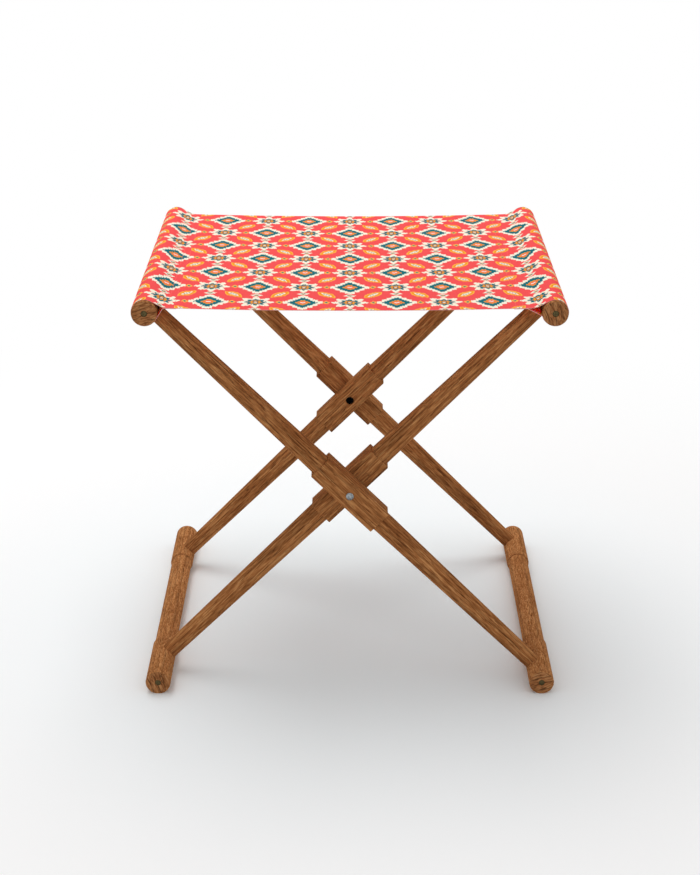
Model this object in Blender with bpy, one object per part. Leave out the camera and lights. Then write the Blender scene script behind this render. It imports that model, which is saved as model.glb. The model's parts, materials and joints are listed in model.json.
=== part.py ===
"""Folding sling stool: two crossed frames of turned wood, pinned at mid-leg, and a cloth seat.

Metres, +Z up. X runs across the seat from rail to rail, -Y is the front, and the origin is on
the floor under the middle of the stool. The outer frame has its top rail on the left and its
legs outermost; the inner frame has its top rail on the right and turns inside the outer one.
"""

import math
from dataclasses import dataclass

import bmesh
import bpy
from mathutils import Matrix, Vector

# Overall sizes of the open stool
STOOL_HEIGHT = 0.450
RAIL_SPREAD = 0.422
RAIL_LENGTH = 0.412

# Rails
TOP_RAIL_DIAMETER = 0.0268
FOOT_DIAMETER = 0.0272
FOOT_PAST_LEG = 0.0175
WAIST_STEP = 0.0015
SHOULDER_ROUND = 0.0012
RAIL_END_ROUND = 0.0010
FOOT_FLAT_DEPTH = 0.0004

# Legs
LEG_INSET = 0.0365
SHAFT_AT_BLOCK = 0.0238
SHAFT_AT_RAIL = 0.0178
BLOCK_LENGTH = 0.0905
BLOCK_SIDE_STEP = 0.0016
BLOCK_FACE_STEP = 0.0006
BLOCK_EDGE = 0.0007
TENON_DIAMETER = 0.0120
TENON_WALL = 0.0032

# Pins along the rails, one through each tenon
PIN_DIAMETER = 0.0066
PIN_PAST_TENON = 0.0020
PIN_RECESS = 0.0004
PIN_EDGE = 0.0004

# Pivot hardware
BOLT_DIAMETER = 0.0050
BOLT_HEAD_DIAMETER = 0.0085
BOLT_HEAD_HEIGHT = 0.0024
BOLT_HEAD_RIM = 0.0008
NUT_DIAMETER = 0.0092
NUT_FLOOR = 0.0060
NUT_RECESS = 0.0010
NUT_EDGE = 0.0004
WASHER_DIAMETER = 0.0160
WASHER_THICKNESS = 0.0008

# Sling
CLOTH_THICKNESS = 0.0008
SLING_INSET = 0.0020
SEAM_STAND_OFF = 0.0055
SEAM_RISE = 0.0050
HEM_WIDTH = 0.0140
SLING_SAG = 0.0020
SLOT_MARGIN = 0.0012

# Gap kept between pieces that touch
CLEARANCE = 0.0003

# Facets round a turn, and the angle above which an edge is shaded sharp
ROUND_STEPS = 32
LEG_ROUND_STEPS = 24
SMALL_ROUND_STEPS = 20
DOME_STEPS = 6
FILLET_STEPS = 3
SAG_STEPS = 12
WRAP_STEPS = 30
SHARP_EDGE = math.radians(35)

# Places worked out from the sizes above
TOP_RAIL_RADIUS = TOP_RAIL_DIAMETER / 2
WRAP_INNER_RADIUS = TOP_RAIL_RADIUS + CLEARANCE
WRAP_MIDDLE_RADIUS = WRAP_INNER_RADIUS + CLOTH_THICKNESS / 2
WRAP_OUTER_RADIUS = WRAP_INNER_RADIUS + CLOTH_THICKNESS
SEAM_INSET = WRAP_OUTER_RADIUS + SEAM_STAND_OFF
SLING_LENGTH = RAIL_LENGTH - 2 * SLING_INSET
TOP_RAIL_Z = STOOL_HEIGHT - WRAP_OUTER_RADIUS
BOTTOM_RAIL_Z = FOOT_DIAMETER / 2 - FOOT_FLAT_DEPTH
PIVOT_Z = (TOP_RAIL_Z + BOTTOM_RAIL_Z) / 2
LEG_REACH = math.hypot(RAIL_SPREAD / 2, TOP_RAIL_Z - PIVOT_Z)
LEG_LEAN = math.atan2(RAIL_SPREAD / 2, TOP_RAIL_Z - PIVOT_Z)
BLOCK_WIDTH = SHAFT_AT_BLOCK + 2 * BLOCK_SIDE_STEP
BLOCK_DEPTH = SHAFT_AT_BLOCK + 2 * BLOCK_FACE_STEP
OUTER_LEG_Y = RAIL_LENGTH / 2 - LEG_INSET
INNER_LEG_Y = OUTER_LEG_Y - BLOCK_DEPTH - WASHER_THICKNESS - 2 * CLEARANCE
SHOULDER_Y = INNER_LEG_Y - SHAFT_AT_RAIL / 2 - FOOT_PAST_LEG
PIN_BORE = PIN_DIAMETER + 2 * CLEARANCE
TENON_PAST_AXIS = PIN_BORE / 2 + TENON_WALL

FRONT = -1
REAR = 1
SIDES = {"front": FRONT, "rear": REAR}


@dataclass(frozen=True)
class Finish:
    """Colour and gloss of one material."""

    colour: tuple
    roughness: float
    metallic: float = 0.0


WOOD = Finish((0.170, 0.075, 0.034), 0.48)
BOLT_STEEL = Finish((0.560, 0.570, 0.570), 0.30, 1.0)
BLACK_STEEL = Finish((0.012, 0.012, 0.013), 0.45, 1.0)
PIN_STEEL = Finish((0.070, 0.078, 0.070), 0.50, 1.0)
SLING_CLOTH = Finish((0.760, 0.130, 0.085), 0.85)


def clear_scene():
    """Removes every object that the file starts with."""
    for thing in list(bpy.data.objects):
        bpy.data.objects.remove(thing, do_unlink=True)


def make_object(name, bm, parent=None):
    """Turns a bmesh into a smooth-shaded object, under a parent's axes if one is given."""
    bmesh.ops.recalc_face_normals(bm, faces=bm.faces)
    mesh = bpy.data.meshes.new(name)
    bm.to_mesh(mesh)
    bm.free()
    mesh.shade_smooth()
    mesh.set_sharp_from_angle(angle=SHARP_EDGE)
    thing = bpy.data.objects.new(name, mesh)
    bpy.context.scene.collection.objects.link(thing)
    thing.parent = parent
    return thing


def dress(thing, finish):
    """Gives an object its own material."""
    material = bpy.data.materials.new(f"{thing.name}_finish")
    material.use_nodes = True
    shader = material.node_tree.nodes["Principled BSDF"]
    shader.inputs["Base Color"].default_value = (*finish.colour, 1.0)
    shader.inputs["Roughness"].default_value = finish.roughness
    shader.inputs["Metallic"].default_value = finish.metallic
    thing.data.materials.append(material)


def polar(radius, angle):
    """A point at a radius and an angle in radians."""
    return radius * math.cos(angle), radius * math.sin(angle)


def fillet(centre, radius, start, stop):
    """Points of an arc from one angle to another, in degrees, both ends included."""
    points = []
    for step in range(FILLET_STEPS + 1):
        across, along = polar(radius, math.radians(start + (stop - start) * step / FILLET_STEPS))
        points.append((centre[0] + across, centre[1] + along))
    return points


def turned(profile, steps=ROUND_STEPS):
    """A closed solid of revolution about Z; the profile is (radius, z) and starts and ends on the axis."""
    bm = bmesh.new()
    ring = [bm.verts.new((radius, 0.0, z)) for radius, z in profile]
    edges = [bm.edges.new(pair) for pair in zip(ring, ring[1:])]
    bmesh.ops.spin(
        bm,
        geom=ring + edges,
        cent=(0, 0, 0),
        axis=(0, 0, 1),
        angle=math.tau,
        steps=steps,
        use_merge=True,
    )
    bmesh.ops.remove_doubles(bm, verts=bm.verts, dist=1e-6)
    return bm


def along_y(bm, direction=1):
    """Turns a piece made along Z so that it runs along +Y, or along -Y."""
    bmesh.ops.rotate(bm, verts=bm.verts, matrix=Matrix.Rotation(-direction * math.pi / 2, 3, "X"))
    return bm


def cylinder(diameter, z_from, z_to, steps=ROUND_STEPS):
    """A plain cylinder along Z."""
    radius = diameter / 2
    return turned([(0, z_to), (radius, z_to), (radius, z_from), (0, z_from)], steps)


def extruded(outline, length):
    """An outline of (x, z) points, drawn out along Y and centred on Y = 0."""
    bm = bmesh.new()
    face = bm.faces.new([bm.verts.new((x, -length / 2, z)) for x, z in outline])
    grown = bmesh.ops.extrude_face_region(bm, geom=[face])["geom"]
    far = [item for item in grown if isinstance(item, bmesh.types.BMVert)]
    bmesh.ops.translate(bm, verts=far, vec=(0, length, 0))
    return bm


def cutter(name, bm, parent=None):
    """A helper solid that only cuts others."""
    thing = make_object(name, bm, parent)
    thing.hide_render = True
    thing.display_type = "WIRE"
    return thing


def boolean(thing, tool, operation="DIFFERENCE"):
    """Cuts a helper out of an object, or joins it on."""
    step = thing.modifiers.new(f"{operation.lower()}_{tool.name}", "BOOLEAN")
    step.operation = operation
    step.solver = "EXACT"
    step.object = tool


@dataclass(frozen=True)
class Frame:
    """One of the two crossed frames, drawn upright about the pivot and then leaned over."""

    name: str
    top_side: str
    bottom_side: str
    lean: float
    leg_y: float

    def axis(self):
        """The empty on the pivot axis that carries and leans the whole frame."""
        empty = bpy.data.objects.new(f"{self.name}_frame_axis", None)
        bpy.context.scene.collection.objects.link(empty)
        empty.location = (0, 0, PIVOT_Z)
        empty.rotation_euler = (0, self.lean, 0)
        return empty


OUTER = Frame("outer", "left", "right", -LEG_LEAN, OUTER_LEG_Y)
INNER = Frame("inner", "right", "left", LEG_LEAN, INNER_LEG_Y)


def pin_inner_end(frame):
    """How far from the middle of the rail a pin's inner end lies."""
    return frame.leg_y - TENON_DIAMETER / 2 - PIN_PAST_TENON


def bored_ends(frame, half_section):
    """A rail's whole section: the pin bore is added to its upper half, which is then mirrored."""
    bore = PIN_BORE / 2
    floor = pin_inner_end(frame) - CLEARANCE
    upper = [(0, floor), (bore, floor), (bore, RAIL_LENGTH / 2), *half_section]
    return upper + [(radius, -z) for radius, z in reversed(upper)]


def top_rail_profile(frame):
    """Section of a plain round rail with eased ends."""
    easing = RAIL_END_ROUND
    end = (TOP_RAIL_RADIUS - easing, RAIL_LENGTH / 2 - easing)
    return bored_ends(frame, fillet(end, easing, 90, 0))


def bottom_rail_profile(frame):
    """Section of a rail with two thick feet and a slimmer waist between their shoulders."""
    foot = FOOT_DIAMETER / 2
    easing = RAIL_END_ROUND
    section = fillet((foot - easing, RAIL_LENGTH / 2 - easing), easing, 90, 0)
    section += fillet((foot - SHOULDER_ROUND, SHOULDER_Y + SHOULDER_ROUND), SHOULDER_ROUND, 0, -90)
    return bored_ends(frame, [*section, (foot - WAIST_STEP, SHOULDER_Y)])


def leg_sockets(frame, rail, height, axis):
    """Cuts the two blind sockets that take the legs' tenons."""
    outwards = math.copysign(1, height)
    floor = TENON_PAST_AXIS + CLEARANCE
    clear_of_rail = FOOT_DIAMETER + TOP_RAIL_DIAMETER
    ends = sorted((outwards * floor, -outwards * clear_of_rail))
    for side, sign in SIDES.items():
        socket = cylinder(TENON_DIAMETER + 2 * CLEARANCE, *ends, SMALL_ROUND_STEPS)
        bmesh.ops.translate(socket, verts=socket.verts, vec=(0, sign * frame.leg_y, height))
        boolean(rail, cutter(f"{rail.name}_socket_{side}", socket, axis))


def make_top_rail(frame, axis):
    """The wooden rail that carries one edge of the sling."""
    bm = along_y(turned(top_rail_profile(frame)))
    bmesh.ops.translate(bm, verts=bm.verts, vec=(0, 0, LEG_REACH))
    rail = make_object(f"top_rail_{frame.top_side}", bm, axis)
    leg_sockets(frame, rail, LEG_REACH, axis)
    dress(rail, WOOD)


def make_floor():
    """A slab under the floor level, which planes the flats under the feet."""
    slab = bmesh.new()
    bmesh.ops.create_cube(slab, size=1.0)
    thickness = FOOT_DIAMETER
    bmesh.ops.scale(slab, verts=slab.verts, vec=(2 * RAIL_SPREAD, 2 * RAIL_LENGTH, thickness))
    bmesh.ops.translate(slab, verts=slab.verts, vec=(0, 0, -thickness / 2))
    return cutter("floor_plane", slab)


def make_bottom_rail(frame, axis, floor):
    """The wooden rail that stands on the floor, planed flat under its feet."""
    bm = along_y(turned(bottom_rail_profile(frame)))
    bmesh.ops.translate(bm, verts=bm.verts, vec=(0, 0, -LEG_REACH))
    rail = make_object(f"bottom_rail_{frame.bottom_side}", bm, axis)
    boolean(rail, floor)
    leg_sockets(frame, rail, -LEG_REACH, axis)
    dress(rail, WOOD)


def leg_profile():
    """Half section of the turned leg: two tapers that meet at their thick ends under the block."""
    thick = SHAFT_AT_BLOCK / 2
    thin = SHAFT_AT_RAIL / 2
    shoulder = BLOCK_LENGTH / 2
    taper = (thick - thin) / (LEG_REACH - TOP_RAIL_RADIUS - shoulder)
    end = LEG_REACH
    end_radius = thick - taper * (end - shoulder)
    return [(0, end), (end_radius, end), (thick, shoulder), (thick, -shoulder), (end_radius, -end), (0, -end)]


def make_leg(frame, side, axis):
    """A turned leg with a square pivot block, coped to both rails and tenoned into them."""
    y = SIDES[side] * frame.leg_y
    name = f"leg_{frame.name}_{side}"
    bm = turned(leg_profile(), LEG_ROUND_STEPS)
    bmesh.ops.translate(bm, verts=bm.verts, vec=(0, y, 0))
    leg = make_object(name, bm, axis)

    block = bmesh.new()
    bmesh.ops.create_cube(block, size=1.0)
    bmesh.ops.scale(block, verts=block.verts, vec=(BLOCK_WIDTH, BLOCK_DEPTH, BLOCK_LENGTH))
    bmesh.ops.bevel(
        block,
        geom=block.edges,
        offset=BLOCK_EDGE,
        segments=2,
        profile=0.5,
        affect="EDGES",
        material=-1,
    )
    bmesh.ops.translate(block, verts=block.verts, vec=(0, y, 0))
    boolean(leg, cutter(f"{name}_block", block, axis), "UNION")

    for end, height, rail in (("top", LEG_REACH, TOP_RAIL_DIAMETER), ("bottom", -LEG_REACH, FOOT_DIAMETER)):
        cope = along_y(cylinder(rail + 2 * CLEARANCE, -RAIL_LENGTH, RAIL_LENGTH))
        bmesh.ops.translate(cope, verts=cope.verts, vec=(0, 0, height))
        boolean(leg, cutter(f"{name}_cope_{end}", cope, axis))
        outwards = math.copysign(1, height)
        ends = sorted((height + outwards * TENON_PAST_AXIS, height - outwards * (rail + TENON_DIAMETER)))
        tenon = cylinder(TENON_DIAMETER, *ends, SMALL_ROUND_STEPS)
        bmesh.ops.translate(tenon, verts=tenon.verts, vec=(0, y, 0))
        boolean(leg, cutter(f"{name}_tenon_{end}", tenon, axis), "UNION")
        hole = along_y(cylinder(PIN_BORE, -RAIL_LENGTH, RAIL_LENGTH, SMALL_ROUND_STEPS))
        bmesh.ops.translate(hole, verts=hole.verts, vec=(0, 0, height))
        boolean(leg, cutter(f"{name}_pin_hole_{end}", hole, axis))

    bore_size = BOLT_DIAMETER if frame is OUTER else NUT_DIAMETER
    bore = along_y(cylinder(bore_size + 2 * CLEARANCE, -RAIL_LENGTH, RAIL_LENGTH, SMALL_ROUND_STEPS))
    boolean(leg, cutter(f"{name}_pivot_bore", bore, axis))
    dress(leg, WOOD)


def make_pins(frame, axis):
    """The pins along both rails of a frame, each driven from a rail end through a tenon."""
    radius = PIN_DIAMETER / 2
    outer_end = RAIL_LENGTH / 2 - PIN_RECESS
    inner_end = pin_inner_end(frame)
    profile = [(0, outer_end), (radius - PIN_EDGE, outer_end), (radius, outer_end - PIN_EDGE)]
    profile += [(radius, inner_end), (0, inner_end)]
    rails = ((f"top_{frame.top_side}", LEG_REACH), (f"bottom_{frame.bottom_side}", -LEG_REACH))
    for rail, height in rails:
        for side, sign in SIDES.items():
            bm = along_y(turned(profile, SMALL_ROUND_STEPS), sign)
            bmesh.ops.translate(bm, verts=bm.verts, vec=(0, 0, height))
            dress(make_object(f"tenon_pin_{rail}_{side}", bm, axis), PIN_STEEL)


def make_pivot(side, axis):
    """Bolt, washer and barrel nut of one pivot; the inner leg turns on the barrel of the nut."""
    sign = SIDES[side]
    outer_face = OUTER_LEG_Y + BLOCK_DEPTH / 2
    nut_outer_end = INNER_LEG_Y + BLOCK_DEPTH / 2
    nut_inner_end = INNER_LEG_Y - BLOCK_DEPTH / 2 + NUT_RECESS
    thread_end = nut_inner_end + NUT_FLOOR + CLEARANCE

    shank = BOLT_DIAMETER / 2
    head = BOLT_HEAD_DIAMETER / 2
    seat = outer_face + CLEARANCE
    rim = seat + BOLT_HEAD_RIM
    rise = BOLT_HEAD_HEIGHT - BOLT_HEAD_RIM
    turns = [math.pi / 2 * step / DOME_STEPS for step in range(DOME_STEPS + 1)]
    dome = [(head * math.sin(turn), rim + rise * math.cos(turn)) for turn in turns]
    profile = [*dome, (head, seat), (shank, seat), (shank, thread_end), (0, thread_end)]
    bolt = make_object(f"pivot_bolt_{side}", along_y(turned(profile, SMALL_ROUND_STEPS), sign), axis)
    dress(bolt, BOLT_STEEL)

    barrel = NUT_DIAMETER / 2
    bore = shank + CLEARANCE
    floor = thread_end - CLEARANCE
    profile = [(0, floor), (bore, floor), (bore, nut_outer_end), (barrel, nut_outer_end)]
    profile += [(barrel, nut_inner_end + NUT_EDGE), (barrel - NUT_EDGE, nut_inner_end), (0, nut_inner_end)]
    nut = make_object(f"barrel_nut_{side}", along_y(turned(profile, SMALL_ROUND_STEPS), sign), axis)
    dress(nut, BLACK_STEEL)

    ring = WASHER_DIAMETER / 2
    near = nut_outer_end + CLEARANCE
    far = near + WASHER_THICKNESS
    plate = along_y(turned([(0, far), (ring, far), (ring, near), (0, near)], SMALL_ROUND_STEPS), sign)
    washer = make_object(f"spacer_washer_{side}", plate, axis)
    hole = along_y(cylinder(2 * bore, -RAIL_LENGTH, RAIL_LENGTH, SMALL_ROUND_STEPS))
    boolean(washer, cutter(f"{washer.name}_hole", hole, axis))
    dress(washer, BOLT_STEEL)


def wrap_angles():
    """Where the cloth leaves the rail above and below, as angles about the rail from the inward side."""
    seam = math.hypot(SEAM_INSET, SEAM_RISE)
    towards_seam = math.atan2(SEAM_RISE, SEAM_INSET)
    spread = math.acos(WRAP_MIDDLE_RADIUS / seam)
    return towards_seam + spread, towards_seam - spread


def on_rail(x_sign, inward, rise):
    """World (x, z) of a point given from the axis of the left (-1) or right (+1) top rail."""
    return x_sign * (RAIL_SPREAD / 2 - inward), TOP_RAIL_Z + rise


def leg_slots(cloth, frame, axis):
    """Cuts the openings through which a frame's legs reach its top rail."""
    for side, sign in SIDES.items():
        slot = cylinder(SHAFT_AT_RAIL + 2 * SLOT_MARGIN, 0, LEG_REACH)
        bmesh.ops.translate(slot, verts=slot.verts, vec=(0, sign * frame.leg_y, 0))
        boolean(cloth, cutter(f"{cloth.name}_{frame.name}_slot_{side}", slot, axis))


def make_sleeve(frame, axis, x_sign):
    """The stretch of cloth that lies on a top rail, slotted where the legs come in."""
    above, below = wrap_angles()
    turns = [above + (below + math.tau - above) * step / WRAP_STEPS for step in range(WRAP_STEPS + 1)]
    outline = [on_rail(x_sign, *polar(WRAP_OUTER_RADIUS, turn)) for turn in turns]
    outline += [on_rail(x_sign, *polar(WRAP_INNER_RADIUS, turn)) for turn in reversed(turns)]
    sleeve = make_object(f"sling_sleeve_{frame.top_side}", extruded(outline, SLING_LENGTH))
    sleeve.parent = axis
    sleeve.matrix_parent_inverse = axis_matrix(frame).inverted()
    leg_slots(sleeve, frame, axis)
    dress(sleeve, SLING_CLOTH)


def axis_matrix(frame):
    """Place of a frame's pivot empty."""
    return Matrix.Translation((0, 0, PIVOT_Z)) @ Matrix.Rotation(frame.lean, 4, "Y")


def meeting(point_a, normal_a, point_b, normal_b):
    """Where two lines meet, each given by a point on it and its normal."""
    reach_a = point_a.dot(normal_a)
    reach_b = point_b.dot(normal_b)
    cross = normal_a.x * normal_b.y - normal_a.y * normal_b.x
    x = (reach_a * normal_b.y - reach_b * normal_a.y) / cross
    y = (normal_a.x * reach_b - normal_b.x * reach_a) / cross
    return Vector((x, y))


def panel_end():
    """Outline of the panel's left end from its top face round to its underside, seen from the rail axis.

    The upper layer runs up to the rail, and a lower layer leaves the underside of the rail and is
    sewn below the panel with a hem, so the two close the sleeve.
    """
    above, below = wrap_angles()
    seam = Vector((SEAM_INSET, SEAM_RISE))
    half = CLOTH_THICKNESS / 2
    up = Vector((0, 1))
    upper = Vector((math.cos(above), math.sin(above)))
    lower = Vector((math.cos(below), math.sin(below)))
    upper_start = upper * WRAP_MIDDLE_RADIUS + Vector((upper.y, -upper.x)) * CLEARANCE
    lower_start = lower * WRAP_MIDDLE_RADIUS + Vector((-lower.y, lower.x)) * CLEARANCE
    hem_face = seam - up * (half + CLOTH_THICKNESS)
    crown = meeting(seam + upper * half, upper, seam + up * half, up)
    pocket = meeting(seam - upper * half, upper, seam - lower * half, lower)
    heel = meeting(seam + lower * half, lower, hem_face, up)
    hem_end = heel.x + HEM_WIDTH
    return [
        crown,
        upper_start + upper * half,
        upper_start - upper * half,
        pocket,
        lower_start - lower * half,
        lower_start + lower * half,
        heel,
        Vector((hem_end, hem_face.y)),
        Vector((hem_end, seam.y - half)),
    ]


def sag_at(x):
    """How far the middle of the seat hangs below its seams, at a place across the seat."""
    span = RAIL_SPREAD / 2 - SEAM_INSET
    return SLING_SAG * max(0.0, 1 - (x / span) ** 2)


def make_panel(outer_axis, inner_axis):
    """The seat cloth between the two seams, with the two layers that run on to each rail."""
    left = [on_rail(-1, point.x, point.y) for point in panel_end()]
    right = [(-x, z) for x, z in reversed(left)]
    outline = list(left)
    for end, start in ((left[-1], right[0]), (right[-1], left[0])):
        outline += [(end[0] + (start[0] - end[0]) * step / SAG_STEPS, end[1]) for step in range(1, SAG_STEPS)]
        if end is left[-1]:
            outline += right
    outline = [(x, z - sag_at(x)) for x, z in outline]
    panel = make_object("sling_panel", extruded(outline, SLING_LENGTH))
    leg_slots(panel, OUTER, outer_axis)
    leg_slots(panel, INNER, inner_axis)
    dress(panel, SLING_CLOTH)


def build():
    """Makes the whole stool."""
    clear_scene()
    outer_axis = OUTER.axis()
    inner_axis = INNER.axis()
    floor = make_floor()
    for frame, axis, x_sign in ((OUTER, outer_axis, -1), (INNER, inner_axis, 1)):
        make_top_rail(frame, axis)
        make_bottom_rail(frame, axis, floor)
        for side in SIDES:
            make_leg(frame, side, axis)
        make_pins(frame, axis)
        make_sleeve(frame, axis, x_sign)
    for side in SIDES:
        make_pivot(side, outer_axis)
    make_panel(outer_axis, inner_axis)


build()
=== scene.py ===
"""Looks of a folding sling stool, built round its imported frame.

Two crossed frames of turned hardwood turn on a pair of bolts, and a printed cloth is slung
between their top rails. Metres, +Z up; X runs across the seat and -Y is the front. Every piece
is modelled where it belongs, so its object stays at the origin.
"""

from __future__ import annotations

import json
import logging
import math
from collections.abc import Sequence
from dataclasses import dataclass, field
from enum import Enum
from typing import Any, Union

import bmesh
import bpy
from mathutils import Matrix, Vector
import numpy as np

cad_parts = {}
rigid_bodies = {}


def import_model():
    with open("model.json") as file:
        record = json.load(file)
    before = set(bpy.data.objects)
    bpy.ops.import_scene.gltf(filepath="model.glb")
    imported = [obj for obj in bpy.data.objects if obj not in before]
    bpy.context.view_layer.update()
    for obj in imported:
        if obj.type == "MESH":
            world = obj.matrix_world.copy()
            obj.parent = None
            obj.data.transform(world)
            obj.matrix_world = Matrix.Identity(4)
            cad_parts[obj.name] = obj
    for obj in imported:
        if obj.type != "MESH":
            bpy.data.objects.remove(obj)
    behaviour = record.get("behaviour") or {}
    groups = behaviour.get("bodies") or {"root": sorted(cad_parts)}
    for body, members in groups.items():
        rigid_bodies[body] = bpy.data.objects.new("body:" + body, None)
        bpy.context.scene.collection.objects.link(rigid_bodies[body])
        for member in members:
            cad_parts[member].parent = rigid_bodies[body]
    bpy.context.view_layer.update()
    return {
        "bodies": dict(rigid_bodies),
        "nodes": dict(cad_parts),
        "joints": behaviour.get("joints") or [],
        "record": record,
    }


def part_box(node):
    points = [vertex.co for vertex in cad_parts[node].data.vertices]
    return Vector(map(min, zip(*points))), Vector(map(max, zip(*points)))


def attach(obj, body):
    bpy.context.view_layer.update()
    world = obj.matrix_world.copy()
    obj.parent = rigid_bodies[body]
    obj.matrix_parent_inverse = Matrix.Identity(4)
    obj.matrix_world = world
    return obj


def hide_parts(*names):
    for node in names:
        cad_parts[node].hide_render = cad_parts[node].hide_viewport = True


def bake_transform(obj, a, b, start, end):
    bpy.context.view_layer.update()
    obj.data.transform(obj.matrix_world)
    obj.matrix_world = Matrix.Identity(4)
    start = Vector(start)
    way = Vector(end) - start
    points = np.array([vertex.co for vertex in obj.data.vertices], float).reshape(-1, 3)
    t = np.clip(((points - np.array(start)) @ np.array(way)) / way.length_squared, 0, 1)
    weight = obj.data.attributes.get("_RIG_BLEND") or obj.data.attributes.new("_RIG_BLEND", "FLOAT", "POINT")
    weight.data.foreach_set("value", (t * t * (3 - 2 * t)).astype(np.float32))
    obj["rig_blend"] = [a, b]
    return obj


LOG = logging.getLogger("sling_stool")

# Edges that turn more than this are shaded sharp
SHARP_EDGE = math.radians(32)

# A face of a rail shows end grain where more than this share of its normal lies along the rail
END_FACE = 0.9

# Facets round a turned piece, round a small one, and round a corner
ROUND_STEPS = 96
SMALL_ROUND_STEPS = 48
ARC_STEPS = 5

# Bores of the pivot blocks: for the bolt in the outer ones, for the nut in the inner ones
BOLT_BORE = 0.0050
NUT_BORE = 0.0098

# Which boards the two frames are cut from
OUTER_SEED = 1.3
INNER_SEED = 4.7

MILLIMETRES = 1000.0
MERGE_DISTANCE = 1e-6
WHITE = (1.0, 1.0, 1.0, 1.0)

Colour = tuple[float, float, float]
Point = tuple[float, float]


class Body(Enum):
    """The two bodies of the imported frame."""

    OUTER = "outer_frame"
    INNER = "inner_frame"


class Slot(Enum):
    """The record's material slots."""

    WOOD = "wood"
    BOLT_STEEL = "bolt_steel"
    BLACK_STEEL = "black_steel"
    PIN_STEEL = "pin_steel"
    CLOTH = "sling_cloth"


class End(Enum):
    """The front and the rear of the stool, with the sign of Y there."""

    FRONT = -1
    REAR = 1

    @property
    def word(self) -> str:
        """The end's name as the pieces spell it."""
        return self.name.lower()


class Cut(Enum):
    """What a helper solid does to the piece it is used on."""

    JOIN = "UNION"
    TAKE = "DIFFERENCE"


class Figure(Enum):
    """How the grain of a piece of wood shows: how long its marks are along the rings and the grain."""

    STRAIGHT = (1.0, 1.0)
    FLECKED = (1.0, 0.32)
    END = (5.0, 0.06)


class Side(Enum):
    """A side of the cloth, with how much paler than the print it is."""

    FACE = 0.0
    # Back of the cloth inside the sleeves: it shows the print more strongly than the back under the panel,
    # which is painted light, the red glow of light through the cloth. Its subsurface glow is real.
    SLEEVE_BACK_PAINTED_GLOW = 0.20
    BACK = 0.54


def srgb(red: int, green: int, blue: int) -> Colour:
    """A colour given as three numbers up to 255, as linear light.

    Args:
        red: Red, from 0 to 255.
        green: Green, from 0 to 255.
        blue: Blue, from 0 to 255.

    Returns:
        The three linear values.
    """

    def linear(level: int) -> float:
        """One channel as linear light."""
        share = level / 255
        return share / 12.92 if share <= 0.04045 else ((share + 0.055) / 1.055) ** 2.4

    return linear(red), linear(green), linear(blue)


class Ink(Enum):
    """The colours that the cloth is printed in."""

    CORAL = srgb(239, 81, 82)
    CREAM = srgb(242, 235, 213)
    TEAL = srgb(12, 104, 114)
    AMBER = srgb(240, 152, 40)
    GOLD = srgb(250, 190, 74)
    PLUM = srgb(70, 52, 76)


Bands = tuple[tuple[float, Ink], ...]


@dataclass(frozen=True)
class Signal:
    """A number, vector or colour that varies over a surface: the output of one shader node."""

    graph: NodeGraph
    socket: bpy.types.NodeSocket

    def __add__(self, other: Value) -> Signal:
        """The sum of two signals."""
        return self.graph.math("ADD", self, other)

    def __sub__(self, other: Value) -> Signal:
        """The difference of two signals."""
        return self.graph.math("SUBTRACT", self, other)

    def __mul__(self, other: Value) -> Signal:
        """The product of two signals."""
        return self.graph.math("MULTIPLY", self, other)

    def __truediv__(self, other: Value) -> Signal:
        """The quotient of two signals."""
        return self.graph.math("DIVIDE", self, other)

    def __abs__(self) -> Signal:
        """The size of a signal without its sign."""
        return self.graph.math("ABSOLUTE", self)

    def floor(self) -> Signal:
        """The whole number below."""
        return self.graph.math("FLOOR", self)

    def over(self, low: float, high: float) -> Signal:
        """Rises smoothly from 0 at low to 1 at high."""
        return self.graph.smooth_range(self, low, high, 0.0, 1.0)

    def under(self, low: float, high: float) -> Signal:
        """Falls smoothly from 1 at low to 0 at high."""
        return self.graph.smooth_range(self, low, high, 1.0, 0.0)


Value = Union[Signal, float]


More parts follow.
